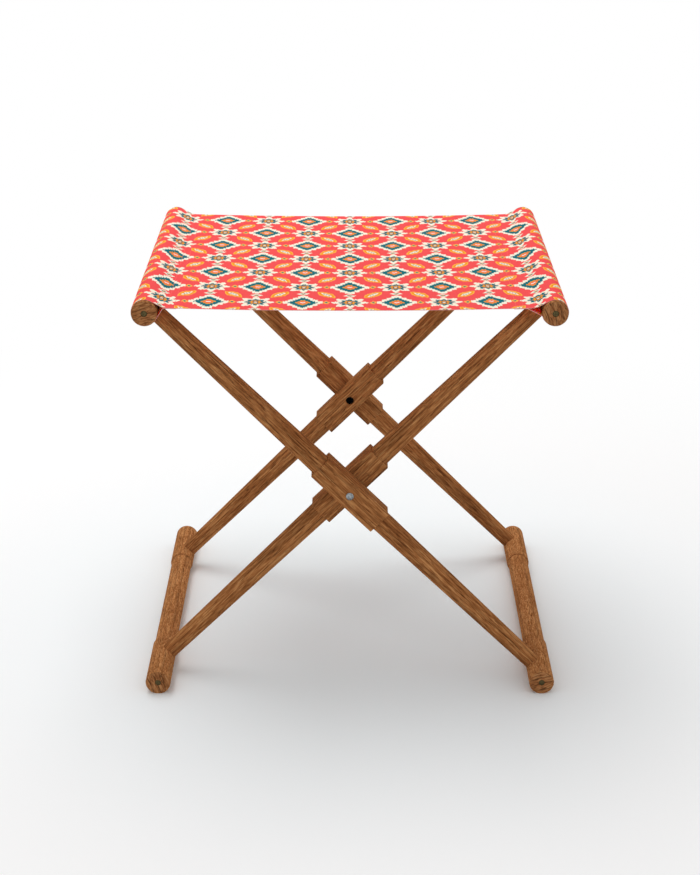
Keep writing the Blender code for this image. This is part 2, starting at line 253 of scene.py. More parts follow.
class NodeGraph:
    """Builds one node material, a step at a time."""

    def __init__(self, name: str) -> None:
        """Starts a material that has a Principled shader.

        Args:
            name: The material's name.
        """
        self.material = bpy.data.materials.new(name)
        self.material.use_nodes = True
        self.tree = self.material.node_tree
        self.shader = self.tree.nodes["Principled BSDF"]

    def node(self, kind: str, **settings: Any) -> bpy.types.Node:
        """Adds a node.

        Args:
            kind: The node's type name.
            **settings: Values for the node's own properties.

        Returns:
            The new node.
        """
        made = self.tree.nodes.new(kind)
        for key, value in settings.items():
            setattr(made, key, value)
        return made

    def feed(self, socket: bpy.types.NodeSocket, value: Any) -> None:
        """Links a signal to a socket, or sets a plain value on it.

        Args:
            socket: The input to fill.
            value: A signal, or what the socket's default is to be.
        """
        if isinstance(value, Signal):
            self.tree.links.new(value.socket, socket)
        else:
            socket.default_value = value

    def surface(self, **inputs: Any) -> None:
        """Fills inputs of the shader, whose names are written with underscores."""
        for name, value in inputs.items():
            self.feed(self.shader.inputs[name.replace("_", " ")], value)

    def math(self, operation: str, *values: Value) -> Signal:
        """One step of arithmetic.

        Args:
            operation: The Math node's operation.
            *values: Its operands.

        Returns:
            The result.
        """
        made = self.node("ShaderNodeMath", operation=operation)
        for socket, value in zip(made.inputs, values):
            self.feed(socket, value)
        return Signal(self, made.outputs["Value"])

    def smooth_range(self, value: Signal, low: float, high: float, first: float, last: float) -> Signal:
        """Maps a range smoothly on to another and stays at its ends outside it.

        Args:
            value: The signal to map.
            low: Where the change starts.
            high: Where it ends.
            first: The result at low and below.
            last: The result at high and above.

        Returns:
            The mapped signal.
        """
        made = self.node("ShaderNodeMapRange", interpolation_type="SMOOTHSTEP")
        settings = {"Value": value, "From Min": low, "From Max": high, "To Min": first, "To Max": last}
        for name, setting in settings.items():
            self.feed(made.inputs[name], setting)
        return Signal(self, made.outputs["Result"])

    def parts(self, vector: Signal) -> tuple[Signal, Signal, Signal]:
        """Takes a vector apart.

        Args:
            vector: The vector.

        Returns:
            Its X, Y and Z.
        """
        made = self.node("ShaderNodeSeparateXYZ")
        self.feed(made.inputs["Vector"], vector)
        x, y, z = (Signal(self, socket) for socket in made.outputs)
        return x, y, z

    def length(self, first: Signal, second: Signal) -> Signal:
        """The distance that two square steps make."""
        return self.math("SQRT", first * first + second * second)

    def object_point(self, origin: Vector, turn: Matrix) -> Signal:
        """A place on the piece, measured from its own centre and along its own axes.

        Args:
            origin: The centre of the piece.
            turn: The rotation from the piece's axes to the frame's.

        Returns:
            The place, in metres.
        """
        coordinates = self.node("ShaderNodeTexCoord")
        mapping = self.node("ShaderNodeMapping", vector_type="TEXTURE")
        self.feed(mapping.inputs["Vector"], Signal(self, coordinates.outputs["Object"]))
        mapping.inputs["Location"].default_value = origin
        mapping.inputs["Rotation"].default_value = turn.to_euler("XYZ")
        return Signal(self, mapping.outputs["Vector"])

    def cloth_point(self, layer: str) -> tuple[Signal, Signal]:
        """A place on the cloth, across and along it, in millimetres.

        Args:
            layer: The name of the UV map that holds it in metres.

        Returns:
            The distance across and the distance along.
        """
        made = self.node("ShaderNodeUVMap", uv_map=layer)
        across, along, _ = self.parts(Signal(self, made.outputs["UV"]))
        return across * MILLIMETRES, along * MILLIMETRES

    def noise(self, point: Signal, sizes: Sequence[float], detail: float, seed: float) -> Signal:
        """Cloudy noise whose clouds have a given size along each axis.

        Args:
            point: Where it is read.
            sizes: The size of a cloud along X, Y and Z.
            detail: How many finer layers it has.
            seed: Which of the possible patterns it is.

        Returns:
            A number about 0.5.
        """
        stretch = self.node("ShaderNodeVectorMath", operation="MULTIPLY")
        self.feed(stretch.inputs[0], point)
        stretch.inputs[1].default_value = [1 / size for size in sizes]
        made = self.node("ShaderNodeTexNoise", noise_dimensions="4D")
        self.feed(made.inputs["Vector"], Signal(self, stretch.outputs["Vector"]))
        self.feed(made.inputs["W"], seed)
        self.feed(made.inputs["Scale"], 1.0)
        self.feed(made.inputs["Detail"], detail)
        return Signal(self, made.outputs[0])

    def per_thread(self, number: Signal) -> Signal:
        """A random number for each thread of the cloth.

        Args:
            number: The thread's own number.

        Returns:
            A number from 0 to 1.
        """
        made = self.node("ShaderNodeTexWhiteNoise", noise_dimensions="1D")
        self.feed(made.inputs["W"], number)
        return Signal(self, made.outputs["Value"])

    def ramp(self, value: Signal, stops: Sequence[tuple[float, Colour]]) -> Signal:
        """Turns a number into a colour.

        Args:
            value: The number.
            stops: Places along the ramp, each with its colour.

        Returns:
            The colour.
        """
        made = self.node("ShaderNodeValToRGB")
        self.feed(made.inputs["Fac"], value)
        elements = made.color_ramp.elements
        while len(elements) < len(stops):
            elements.new(1.0)
        for element, (place, colour) in zip(elements, stops):
            element.position = place
            element.color = (*colour, 1.0)
        return Signal(self, made.outputs["Color"])

    def mix(self, share: Value, first: Any, second: Any, mode: str = "MIX") -> Signal:
        """Mixes two colours.

        Args:
            share: How much of the second there is.
            first: A signal or a colour.
            second: A signal or a colour.
            mode: How the second lies over the first.

        Returns:
            The mixed colour.
        """
        made = self.node("ShaderNodeMix", data_type="RGBA", blend_type=mode)
        sockets = {socket.identifier: socket for socket in made.inputs}
        self.feed(sockets["Factor_Float"], share)
        for name, colour in (("A_Color", first), ("B_Color", second)):
            self.feed(sockets[name], colour if isinstance(colour, Signal) else (*colour, 1.0))
        result = next(socket for socket in made.outputs if socket.identifier == "Result_Color")
        return Signal(self, result)

    def shade(self, colour: Signal, level: Signal) -> Signal:
        """Multiplies a colour by a level of grey.

        Args:
            colour: The colour.
            level: The grey, where 1 leaves the colour as it is.

        Returns:
            The shaded colour.
        """
        grey = self.node("ShaderNodeCombineColor")
        for socket in grey.inputs:
            self.feed(socket, level)
        return self.mix(1.0, colour, Signal(self, grey.outputs["Color"]), "MULTIPLY")

    def bump(self, height: Signal, depth: float, strength: float) -> Signal:
        """Relief in the surface.

        Args:
            height: The relief, about 0 to 1.
            depth: How deep a height of 1 is, in metres.
            strength: How much of it shows.

        Returns:
            The normal for the shader.
        """
        made = self.node("ShaderNodeBump")
        self.feed(made.inputs["Height"], height)
        made.inputs["Distance"].default_value = depth
        made.inputs["Strength"].default_value = strength
        return Signal(self, made.outputs["Normal"])


@dataclass(frozen=True)
class GrainMark:
    """One kind of mark in wood: its size in straight grain, its noise and its share of the tone."""

    width: float
    length: float
    detail: float
    seed_step: float
    share: float = 0.0


@dataclass(frozen=True)
class WoodFinish:
    """Oiled brown hardwood whose grain runs along a piece."""

    dark: Colour = srgb(115, 68, 36)
    middle: Colour = srgb(165, 107, 62)
    light: Colour = srgb(197, 141, 89)
    line: Colour = srgb(74, 38, 17)
    pore: Colour = srgb(60, 32, 16)
    figure: Figure = Figure.STRAIGHT
    fineness: float = 1.0
    clouds: GrainMark = GrainMark(0.016, 0.060, 2.0, 0.0, 0.15)
    streaks: GrainMark = GrainMark(0.0028, 0.050, 3.0, 3.1, 0.23)
    flecks: GrainMark = GrainMark(0.0017, 0.013, 2.0, 5.9, 0.31)
    fibres: GrainMark = GrainMark(0.0009, 0.018, 3.0, 7.7, 0.31)
    lines: GrainMark = GrainMark(0.0011, 0.046, 2.0, 9.2)
    pores: GrainMark = GrainMark(0.0009, 0.0090, 1.0, 11.3)
    tone_stops: tuple[float, float, float] = (0.39, 0.50, 0.60)
    line_range: Point = (0.57, 0.67)
    line_share: float = 0.74
    pore_range: Point = (0.60, 0.70)
    pore_share: float = 0.60
    pith: float = 0.060
    ring_width: float = 0.0052
    ring_wander: float = 0.9
    ring_depth: float = 0.30
    ring_start: float = 0.40
    ring_full: float = 0.92
    ring_end: float = 0.94
    ring_gaps: Point = (0.30, 0.52)
    relief: float = 0.00016
    relief_strength: float = 0.55
    fibre_relief: float = 0.5
    roughness: float = 0.62
    fibre_roughness: float = 0.20
    pore_roughness: float = 0.15
    specular: float = 0.004

    def material(self, name: str, origin: Vector, turn: Matrix, seed: float) -> bpy.types.Material:
        """The wood of one piece.

        Args:
            name: The material's name.
            origin: The centre of the piece.
            turn: The rotation from the piece's axes to the frame's, with X away from the pith and
                Z along the grain.
            seed: Which board the piece was cut from.

        Returns:
            The material.
        """
        graph = NodeGraph(name)
        point = graph.object_point(origin, turn)
        cloud_size = (self.clouds.width, self.clouds.width, self.clouds.length)
        cloud = graph.noise(point, cloud_size, self.clouds.detail, seed)
        kinds = (self.streaks, self.flecks, self.fibres, self.lines, self.pores)
        streak, fleck, fibre, line, pore = (self.marks(graph, point, kind, seed) for kind in kinds)

        tone = cloud * self.clouds.share + streak * self.streaks.share
        tone = tone + fleck * self.flecks.share + fibre * self.fibres.share
        colour = graph.ramp(tone, tuple(zip(self.tone_stops, (self.dark, self.middle, self.light))))
        late = self.late_wood(graph, point, streak)
        colour = graph.shade(colour, late * -self.ring_depth + 1.0)
        colour = graph.mix(line.over(*self.line_range) * self.line_share, colour, self.line)
        pore_mask = pore.over(*self.pore_range)
        colour = graph.mix(pore_mask * self.pore_share, colour, self.pore)
        rough = fibre * self.fibre_roughness + (self.roughness - self.fibre_roughness / 2)
        relief = fibre * self.fibre_relief - pore_mask
        graph.surface(
            Base_Color=colour,
            Roughness=rough + pore_mask * self.pore_roughness,
            Specular_IOR_Level=self.specular,
            Normal=graph.bump(relief, self.relief, self.relief_strength),
        )
        return graph.material

    def marks(self, graph: NodeGraph, point: Signal, mark: GrainMark, seed: float) -> Signal:
        """Noise that is drawn out the way the grain runs.

        Args:
            graph: The material being built.
            point: A place on the piece.
            mark: The kind of mark.
            seed: Which board the piece was cut from.

        Returns:
            A number about 0.5.
        """
        round_rings, along = self.figure.value
        width = mark.width * self.fineness
        sizes = (width, width * round_rings, mark.length * along)
        return graph.noise(point, sizes, mark.detail, seed + mark.seed_step)

    def late_wood(self, graph: NodeGraph, point: Signal, streak: Signal) -> Signal:
        """The dark line at the end of each growth ring, round a pith that lies outside the piece.

        Args:
            graph: The material being built.
            point: A place on the piece.
            streak: Noise that makes the rings wander, and come and go.

        Returns:
            How dark the ring is, from 0 to 1.
        """
        x, y, _ = graph.parts(point)
        from_pith = graph.length(x + self.pith, y)
        ring = graph.math("FRACT", from_pith / self.ring_width + streak * self.ring_wander)
        drawn = ring.over(self.ring_start, self.ring_full) * ring.under(self.ring_end, 1.0)
        return drawn * streak.over(*self.ring_gaps)


@dataclass(frozen=True)
class SteelFinish:
    """Steel with a faintly clouded surface."""

    colour: Colour
    shadow: Colour
    roughness: float
    cloud: float = 0.0016
    cloud_detail: float = 3.0
    cloud_range: Point = (0.35, 0.68)
    cloud_roughness: float = 0.18
    grain: float = 1 / 6
    grain_detail: float = 2.0
    grain_seed_step: float = 5.0
    grain_roughness: float = 0.10
    grain_relief: float = 0.4
    relief: float = 0.00008
    relief_strength: float = 0.5

    def material(self, name: str, seed: float) -> bpy.types.Material:
        """The steel of one piece.

        Args:
            name: The material's name.
            seed: Which clouding it has.

        Returns:
            The material.
        """
        graph = NodeGraph(name)
        point = graph.object_point(Vector(), Matrix.Identity(3))
        clouds = graph.noise(point, (self.cloud,) * 3, self.cloud_detail, seed)
        grain_seed = seed + self.grain_seed_step
        grains = graph.noise(point, (self.cloud * self.grain,) * 3, self.grain_detail, grain_seed)
        smoothest = self.roughness - (self.cloud_roughness + self.grain_roughness) / 2
        relief = clouds + grains * self.grain_relief
        graph.surface(
            Base_Color=graph.mix(clouds.over(*self.cloud_range), self.shadow, self.colour),
            Metallic=1.0,
            Roughness=clouds * self.cloud_roughness + grains * self.grain_roughness + smoothest,
            Normal=graph.bump(relief, self.relief, self.relief_strength),
        )
        return graph.material


@dataclass(frozen=True)
class ClothPrint:
    """Lozenges, rosettes and buds with feathered edges, as on resist-dyed cloth.

    Sizes are in millimetres, and a band ends at a share of its motif's size. Columns lie side by
    side across the seat, each half a repeat lower than the last, so a lozenge always stands
    between four buds and beside two rosettes.
    """

    ground: Ink = Ink.CORAL
    border: Ink = Ink.CREAM
    column: float = 49.0
    repeat: float = 116.0
    lozenge: Point = (21.0, 27.0)
    lozenge_bands: Bands = ((0.74, Ink.TEAL), (0.38, Ink.AMBER), (0.24, Ink.CORAL), (0.12, Ink.CREAM))
    lozenge_step: float = 2.6
    tooth: float = 0.08
    rosette: float = 19.5
    rosette_bands: Bands = ((0.61, Ink.TEAL), (0.36, Ink.AMBER), (0.20, Ink.PLUM), (0.11, Ink.CREAM))
    petals: int = 8
    petal_depth: float = 0.16
    vein: float = 1.3
    bud: Point = (14.5, 6.6)
    bud_bands: Bands = ((1.0, Ink.GOLD), (0.82, Ink.AMBER), (0.40, Ink.CREAM))
    pip: float = 1.1
    pip_ink: Ink = Ink.TEAL
    pip_pitch: float = 4.0
    pip_row: float = 6.0
    spark: Point = (7.0, 5.6)
    spark_bands: Bands = ((1.0, Ink.CREAM), (0.50, Ink.PLUM), (0.22, Ink.GOLD))
    side_spark: Point = (4.2, 5.6)
    side_spark_bands: Bands = ((1.0, Ink.GOLD), (0.50, Ink.TEAL))
    feather: float = 2.8
    feather_thread: float = 1.3
    edge: float = 0.28

    def inside(self, distance: Signal, limit: float, scale: float) -> Signal:
        """A mask of what lies within a limit.

        Args:
            distance: A distance from the middle of a motif, in any unit.
            limit: Where the motif ends.
            scale: How many millimetres one of those units is.

        Returns:
            1 inside, 0 outside.
        """
        soft = self.edge / scale
        return distance.under(limit - soft, limit + soft)

    def lay(
        self, graph: NodeGraph, colour: Signal | Colour, shape: Signal, scale: float, bands: Bands
    ) -> Signal:
        """Lays the bands of a motif over a colour, the widest first.

        Args:
            graph: The material being built.
            colour: What lies under the motif.
            shape: How far out in the motif a place is. The motif ends at 1.
            scale: How many millimetres that is.
            bands: Where each band ends, with its ink.

        Returns:
            The printed colour.
        """
        for limit, ink in bands:
            colour = graph.mix(self.inside(shape, limit, scale), colour, ink.value)
        return colour

    def colour(self, graph: NodeGraph, across: Signal, along: Signal) -> Signal:
        """The printed colour at a place on the cloth.

        Args:
            graph: The material being built.
            across: Millimetres across the cloth.
            along: Millimetres along it.

        Returns:
            The colour.
        """
        half = self.column / 2
        parity = graph.math("FLOORED_MODULO", (across / self.column + 0.5).floor(), 2.0)
        thread = (across / self.feather_thread).floor()
        ragged = (graph.per_thread(thread) - 0.5) * self.feather
        lowered = along + parity * (self.repeat / 2) + ragged
        x = abs(graph.math("WRAP", across, half, -half))
        y = abs(graph.math("WRAP", lowered, self.repeat / 2, -self.repeat / 2))
        colour = self.paint_buds(graph, x, y)
        colour = self.paint_lozenge(graph, colour, x, y)
        colour = self.paint_sparks(graph, colour, x, y)
        return self.paint_rosette(graph, colour, x, y)

    def channel(self, x: Signal, y: Signal) -> tuple[Signal, Signal]:
        """Measures along the slanting channel between two lozenges.

        Args:
            x: Millimetres from the middle of a column.
            y: Millimetres from the middle of a lozenge.

        Returns:
            The steps along the channel and square to it, from its middle.
        """
        run = Vector((self.column / 2, -self.repeat / 4)).normalized()
        dx = x - self.column / 2
        dy = y - self.repeat / 4
        return dx * run.x + dy * run.y, dy * run.x - dx * run.y

    def paint_buds(self, graph: NodeGraph, x: Signal, y: Signal) -> Signal:
        """The ground, with an amber bud in each channel and pips in its pale heart.

        Args:
            graph: The material being built.
            x: Millimetres from the middle of a column.
            y: Millimetres from the middle of a lozenge.

        Returns:
            The printed colour.
        """
        along, square = self.channel(x, y)
        length, width = self.bud
        shape = (along / length) * (along / length) + abs(square) / width
        colour = self.lay(graph, self.ground.value, shape, width, self.bud_bands)
        half_pitch = self.pip_pitch / 2
        reach = graph.length(graph.math("WRAP", along, half_pitch, -half_pitch), square)
        pips = self.inside(reach, self.pip, 1.0) * self.inside(abs(along), self.pip_row, 1.0)
        return graph.mix(pips, colour, self.pip_ink.value)

    def paint_lozenge(self, graph: NodeGraph, colour: Signal, x: Signal, y: Signal) -> Signal:
        """The stepped lozenge in bands, with a toothed pale border.

        Args:
            graph: The material being built.
            colour: What lies under it.
            x: Millimetres from the middle of a column.
            y: Millimetres from the middle of a lozenge.

        Returns:
            The printed colour.
        """
        wide, tall = self.lozenge
        step = (x / self.lozenge_step).floor()
        odd = graph.math("FLOORED_MODULO", step, 2.0)
        shape = (step + 0.5) * self.lozenge_step / wide + y / tall
        toothed = shape - odd * self.tooth
        colour = graph.mix(self.inside(toothed, 1.0, wide), colour, self.border.value)
        return self.lay(graph, colour, shape, wide, self.lozenge_bands)

    def paint_sparks(self, graph: NodeGraph, colour: Signal, x: Signal, y: Signal) -> Signal:
        """Small lozenges in the gaps above, below and beside the large ones.

        Args:
            graph: The material being built.
            colour: What lies under them.
            x: Millimetres from the middle of a column.
            y: Millimetres from the middle of a lozenge.

        Returns:
            The printed colour.
        """
        wide, tall = self.spark
        above = x / wide + abs(y - (self.lozenge[1] + tall)) / tall
        colour = self.lay(graph, colour, above, tall, self.spark_bands)
        wide, tall = self.side_spark
        fold = self.repeat / 4
        beside = (x - self.column / 2) / -wide + (abs(y - fold) - fold) / -tall
        return self.lay(graph, colour, beside, tall, self.side_spark_bands)

    def paint_rosette(self, graph: NodeGraph, colour: Signal, x: Signal, y: Signal) -> Signal:
        """The rosette between two lozenges of a column.

        Args:
            graph: The material being built.
            colour: What lies under it.
            x: Millimetres from the middle of a column.
            y: Millimetres from the middle of a lozenge.

        Returns:
            The printed colour.
        """
        dy = y - self.repeat / 2
        reach = graph.length(x, dy)
        turn = graph.math("ARCTAN2", dy, x)
        lobes = graph.math("COSINE", turn * float(self.petals)) * self.petal_depth
        shape = reach / (lobes + (1 - self.petal_depth)) / self.rosette
        whole = self.inside(shape, 1.0, self.rosette)
        colour = graph.mix(whole, colour, self.border.value)
        gap = abs(graph.math("COSINE", turn * (self.petals / 2))) * reach
        colour = graph.mix(self.inside(gap, self.vein, 1.0) * whole, colour, self.ground.value)
        return self.lay(graph, colour, shape, self.rosette, self.rosette_bands)


@dataclass(frozen=True)
class ClothFinish:
    """Plain-woven cotton with a print on its face."""

    design: ClothPrint
    uv_layer: str = "cloth"
    thread: float = 0.62
    thread_shade: float = 0.035
    thread_relief: float = 0.3
    # Painted shade in the hollows of the weave
    weave_painted_shade: float = 0.03
    weave_relief: float = 0.5
    relief: float = 0.00012
    relief_strength: float = 0.5
    roughness: float = 0.86
    specular: float = 0.06
    back_tint: Colour = srgb(244, 237, 228)
    edge_tint: float = 0.22
    edge_spread: float = 0.4
    light_depth: float = 0.0050

    def material(self, name: str, side: Side) -> bpy.types.Material:
        """One side of the cloth.

        Args:
            name: The material's name.
            side: Which side it is. The print shows through faintly on the back.

        Returns:
            The material.
        """
        graph = NodeGraph(name)
        across, along = graph.cloth_point(self.uv_layer)
        colour = self.design.colour(graph, across, along)
        if side is not Side.FACE:
            colour = graph.mix(side.value, colour, self.back_tint)
        if side is Side.SLEEVE_BACK_PAINTED_GLOW:
            graph.surface(Subsurface_Weight=1.0, Subsurface_Scale=self.light_depth)
        self.weave(graph, colour, across, along)
        return graph.material

    def edge_material(self, name: str) -> bpy.types.Material:
        """The cut edge of the cloth, where pale threads show between printed ones.

        Args:
            name: The material's name.

        Returns:
            The material.
        """
        graph = NodeGraph(name)
        across, along = graph.cloth_point(self.uv_layer)
        threads = graph.per_thread(((along + across) / self.thread).floor())
        pale = threads * self.edge_spread + self.edge_tint
        colour = graph.mix(pale, self.design.ground.value, self.back_tint)
        graph.surface(Base_Color=colour, Roughness=self.roughness, Specular_IOR_Level=self.specular)
        return graph.material

    def weave(self, graph: NodeGraph, colour: Signal, across: Signal, along: Signal) -> None:
        """Dresses a colour as woven threads.

        Args:
            graph: The material being built.
            colour: The colour of the cloth.
            across: Millimetres across the cloth.
            along: Millimetres along it.
        """
        turns = math.tau / (2 * self.thread)
        over_under = graph.math("SINE", across * turns) * graph.math("SINE", along * turns)
        warp = graph.per_thread((across / self.thread).floor())
        # Half a number further, so that no weft thread has the shade of a warp thread
        weft = graph.per_thread((along / self.thread).floor() + 0.5)
        # Each thread's own tone, plus painted shade: the weave is darker in its hollows, where its relief is
        # low
        thread_tone_and_painted_shade = (warp + weft) * self.thread_shade + over_under * self.weave_painted_shade
        level = thread_tone_and_painted_shade + (1 - self.thread_shade)
        relief = over_under * self.weave_relief + warp * self.thread_relief + weft * self.thread_relief
        graph.surface(
            Base_Color=graph.shade(colour, level),
            Roughness=self.roughness,
            Specular_IOR_Level=self.specular,
            Normal=graph.bump(relief, self.relief, self.relief_strength),
        )


@dataclass(frozen=True)
class ThreadFinish:
    """Twisted sewing thread."""

    colour: Colour = srgb(236, 74, 76)
    # Painted highlight on the ridges of the twist
    light: Colour = srgb(255, 120, 112)
    twist: float = 0.0004
    roughness: float = 0.7
    relief: float = 0.00005
    relief_strength: float = 0.5

    def material(self, name: str) -> bpy.types.Material:
        """The thread's material.

        Args:
            name: The material's name.

        Returns:
            The material.
        """
        graph = NodeGraph(name)
        x, y, _ = graph.parts(graph.object_point(Vector(), Matrix.Identity(3)))
        # The twist's ridges are painted lighter than its grooves: a painted highlight, in step with the
        # relief
        strand = graph.math("SINE", (x + y) * (math.tau / self.twist)) * 0.5 + 0.5
        graph.surface(
            Base_Color=graph.mix(strand, self.colour, self.light),
            Roughness=self.roughness,
            Normal=graph.bump(strand, self.relief, self.relief_strength),
        )
        return graph.material


LEG_WOOD = WoodFinish()
# Wood of the foot rails: its flecked figure is the wood's own, and its paler colours are painted light, the
# stronger light from above on the foot rails
FOOT_WOOD_PAINTED_LIGHTER = WoodFinish(
    dark=srgb(128, 79, 43),
    middle=srgb(179, 119, 71),
    light=srgb(211, 155, 101),
    figure=Figure.FLECKED,
    fineness=0.72,
)
END_GRAIN = WoodFinish(
    middle=srgb(162, 107, 66),
    light=srgb(194, 141, 94),
    figure=Figure.END,
    ring_width=0.0070,
    ring_depth=0.62,
    ring_start=0.74,
)
BOLT_STEEL = SteelFinish(srgb(168, 173, 176), srgb(112, 118, 122), 0.38)
BLACK_STEEL = SteelFinish(srgb(16, 16, 17), srgb(6, 6, 7), 0.50)
PIN_STEEL = SteelFinish(srgb(108, 96, 64), srgb(74, 66, 44), 0.60, cloud=0.0009)
SLING_COTTON = ClothFinish(ClothPrint())
SEWING_THREAD = ThreadFinish()


def turned(profile: Sequence[Point], steps: int = ROUND_STEPS) -> bmesh.types.BMesh:
    """Spins a half section round Z into a closed solid.

    Args:
        profile: The section as (radius, height), from the axis back to the axis.
        steps: Facets round the turn.

    Returns:
        The solid.
    """
    bm = bmesh.new()
    chain = [bm.verts.new((radius, 0.0, height)) for radius, height in profile]
    edges = [bm.edges.new(pair) for pair in zip(chain, chain[1:])]
    bmesh.ops.spin(
        bm,
        geom=chain + edges,
        cent=(0, 0, 0),
        axis=(0, 0, 1),
        angle=math.tau,
        steps=steps,
        use_merge=True,
    )
    bmesh.ops.remove_doubles(bm, verts=bm.verts, dist=MERGE_DISTANCE)
    bmesh.ops.recalc_face_normals(bm, faces=bm.faces)
    return bm


def mirrored(upper: Sequence[Point]) -> list[Point]:
    """The upper half of a section, followed by its mirror image below."""
    return [*upper, *((radius, -height) for radius, height in reversed(upper))]


def rod(radius: float, top: float, bottom: float) -> bmesh.types.BMesh:
    """A plain round rod along Z."""
    return turned([(0.0, top), (radius, top), (radius, bottom), (0.0, bottom)])


def arc(centre: Point, radius: float, start: float, stop: float, steps: int = ARC_STEPS) -> list[Point]:
    """Points along an arc, both ends included.

    Args:
        centre: The arc's centre.
        radius: Its radius.
        start: Its first angle, in radians.
        stop: Its last angle, in radians.
        steps: How many parts it has.

    Returns:
        The points.
    """
    turns = [start + (stop - start) * step / steps for step in range(steps + 1)]
    return [(centre[0] + radius * math.cos(turn), centre[1] + radius * math.sin(turn)) for turn in turns]


def eased(radius: float, height: float, easing: float, below: bool = False) -> list[Point]:
    """The rounded outer corner of a half section.

    Args:
        radius: The section's radius at the corner.
        height: The height of the end face there.
        easing: The radius of the rounding.
        below: Whether the end face looks down.

    Returns:
        The corner's points, from top to bottom.
    """
    inset = radius - easing
    if below:
        return arc((inset, height + easing), easing, 0.0, -math.pi / 2)
    return arc((inset, height - easing), easing, math.pi / 2, 0.0)


def rounded_corner(
    before: Vector, corner: Vector, after: Vector, radius: float, steps: int = ARC_STEPS
) -> list[Point]:
    """Replaces a corner of a path by an arc that touches both of its sides.

    Args:
        before: A point on the side that leads to the corner.
        corner: The corner.
        after: A point on the side that leaves it.
        radius: The arc's radius.
        steps: How many parts the arc has.

    Returns:
        The arc's points.
    """
    towards = (before - corner).normalized()
    away = (after - corner).normalized()
    half = towards.angle(away) / 2
    centre = corner + (towards + away).normalized() * (radius / math.sin(half))
    first = corner + towards * (radius / math.tan(half)) - centre
    last = corner + away * (radius / math.tan(half)) - centre
    start = math.atan2(first.y, first.x)
    sweep = math.remainder(math.atan2(last.y, last.x) - start, math.tau)
    return arc((centre.x, centre.y), radius, start, start + sweep, steps)


def between(first: Point, last: Point, steps: int = ARC_STEPS) -> list[Point]:
    """Points that part a straight run.

    Args:
        first: Where the run starts.
        last: Where it ends.
        steps: How many parts it gets.

    Returns:
        The points, without the run's ends.
    """
    shares = [step / steps for step in range(1, steps)]
    run_x, run_y = last[0] - first[0], last[1] - first[1]
    return [(first[0] + run_x * share, first[1] + run_y * share) for share in shares]


def place(bm: bmesh.types.BMesh, matrix: Matrix) -> bmesh.types.BMesh:
    """Moves and turns a whole shape."""
    bmesh.ops.transform(bm, matrix=matrix, verts=bm.verts)
    return bm


def along_y(direction: int = 1) -> Matrix:
    """The turn that lays a shape made along Z along +Y, or along -Y."""
    return Matrix.Rotation(-direction * math.pi / 2, 4, "X")


def link_object(name: str, data: bpy.types.ID) -> bpy.types.Object:
    """Puts a new object into the scene.

    Args:
        name: The object's name.
        data: Its mesh, camera or lamp.

    Returns:
        The object.
    """
    thing = bpy.data.objects.new(name, data)
    bpy.context.scene.collection.objects.link(thing)
    return thing


def smooth(mesh: bpy.types.Mesh) -> None:
    """Shades a mesh smooth between its sharp edges."""
    mesh.shade_smooth()
    mesh.set_sharp_from_angle(angle=SHARP_EDGE)


def add_object(name: str, bm: bmesh.types.BMesh) -> bpy.types.Object:
    """Makes an object of a shape, shaded smooth between its sharp edges.

    Args:
        name: The object's name.
        bm: Its shape, which is used up.

    Returns:
        The object.
    """
    mesh = bpy.data.meshes.new(name)
    bm.to_mesh(mesh)
    bm.free()
    smooth(mesh)
    return link_object(name, mesh)


def settle(thing: bpy.types.Object) -> None:
    """Makes an object's modified shape its own mesh and takes the modifiers off.

    Args:
        thing: The object.
    """
    depsgraph = bpy.context.evaluated_depsgraph_get()
    shape = thing.evaluated_get(depsgraph)
    mesh = bpy.data.meshes.new_from_object(shape, preserve_all_data_layers=True, depsgraph=depsgraph)
    thing.modifiers.clear()
    thing.data = mesh


def carve(thing: bpy.types.Object, tools: Sequence[tuple[bpy.types.Object, Cut]]) -> None:
    """Joins helper solids to an object or takes them out of it, and removes them.

    Args:
        thing: The object to change.
        tools: The helpers, each with what it does.
    """
    for tool, cut in tools:
        step = thing.modifiers.new(tool.name, "BOOLEAN")
        step.operation = cut.value
        step.solver = "EXACT"
        step.material_mode = "TRANSFER"
        step.object = tool
    settle(thing)
    for tool, _ in tools:
        bpy.data.objects.remove(tool, do_unlink=True)
    smooth(thing.data)


def hand_over(thing: bpy.types.Object, body: Body, node: str) -> None:
    """Lets a piece ride on its body in place of its plain solid, and reports it.

    Args:
        thing: The piece.
        body: What it moves with.
        node: The solid that it stands for.
    """
    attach(thing, body.value)
    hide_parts(node)
    LOG.info("%s rides on %s, %d faces", thing.name, body.value, len(thing.data.polygons))


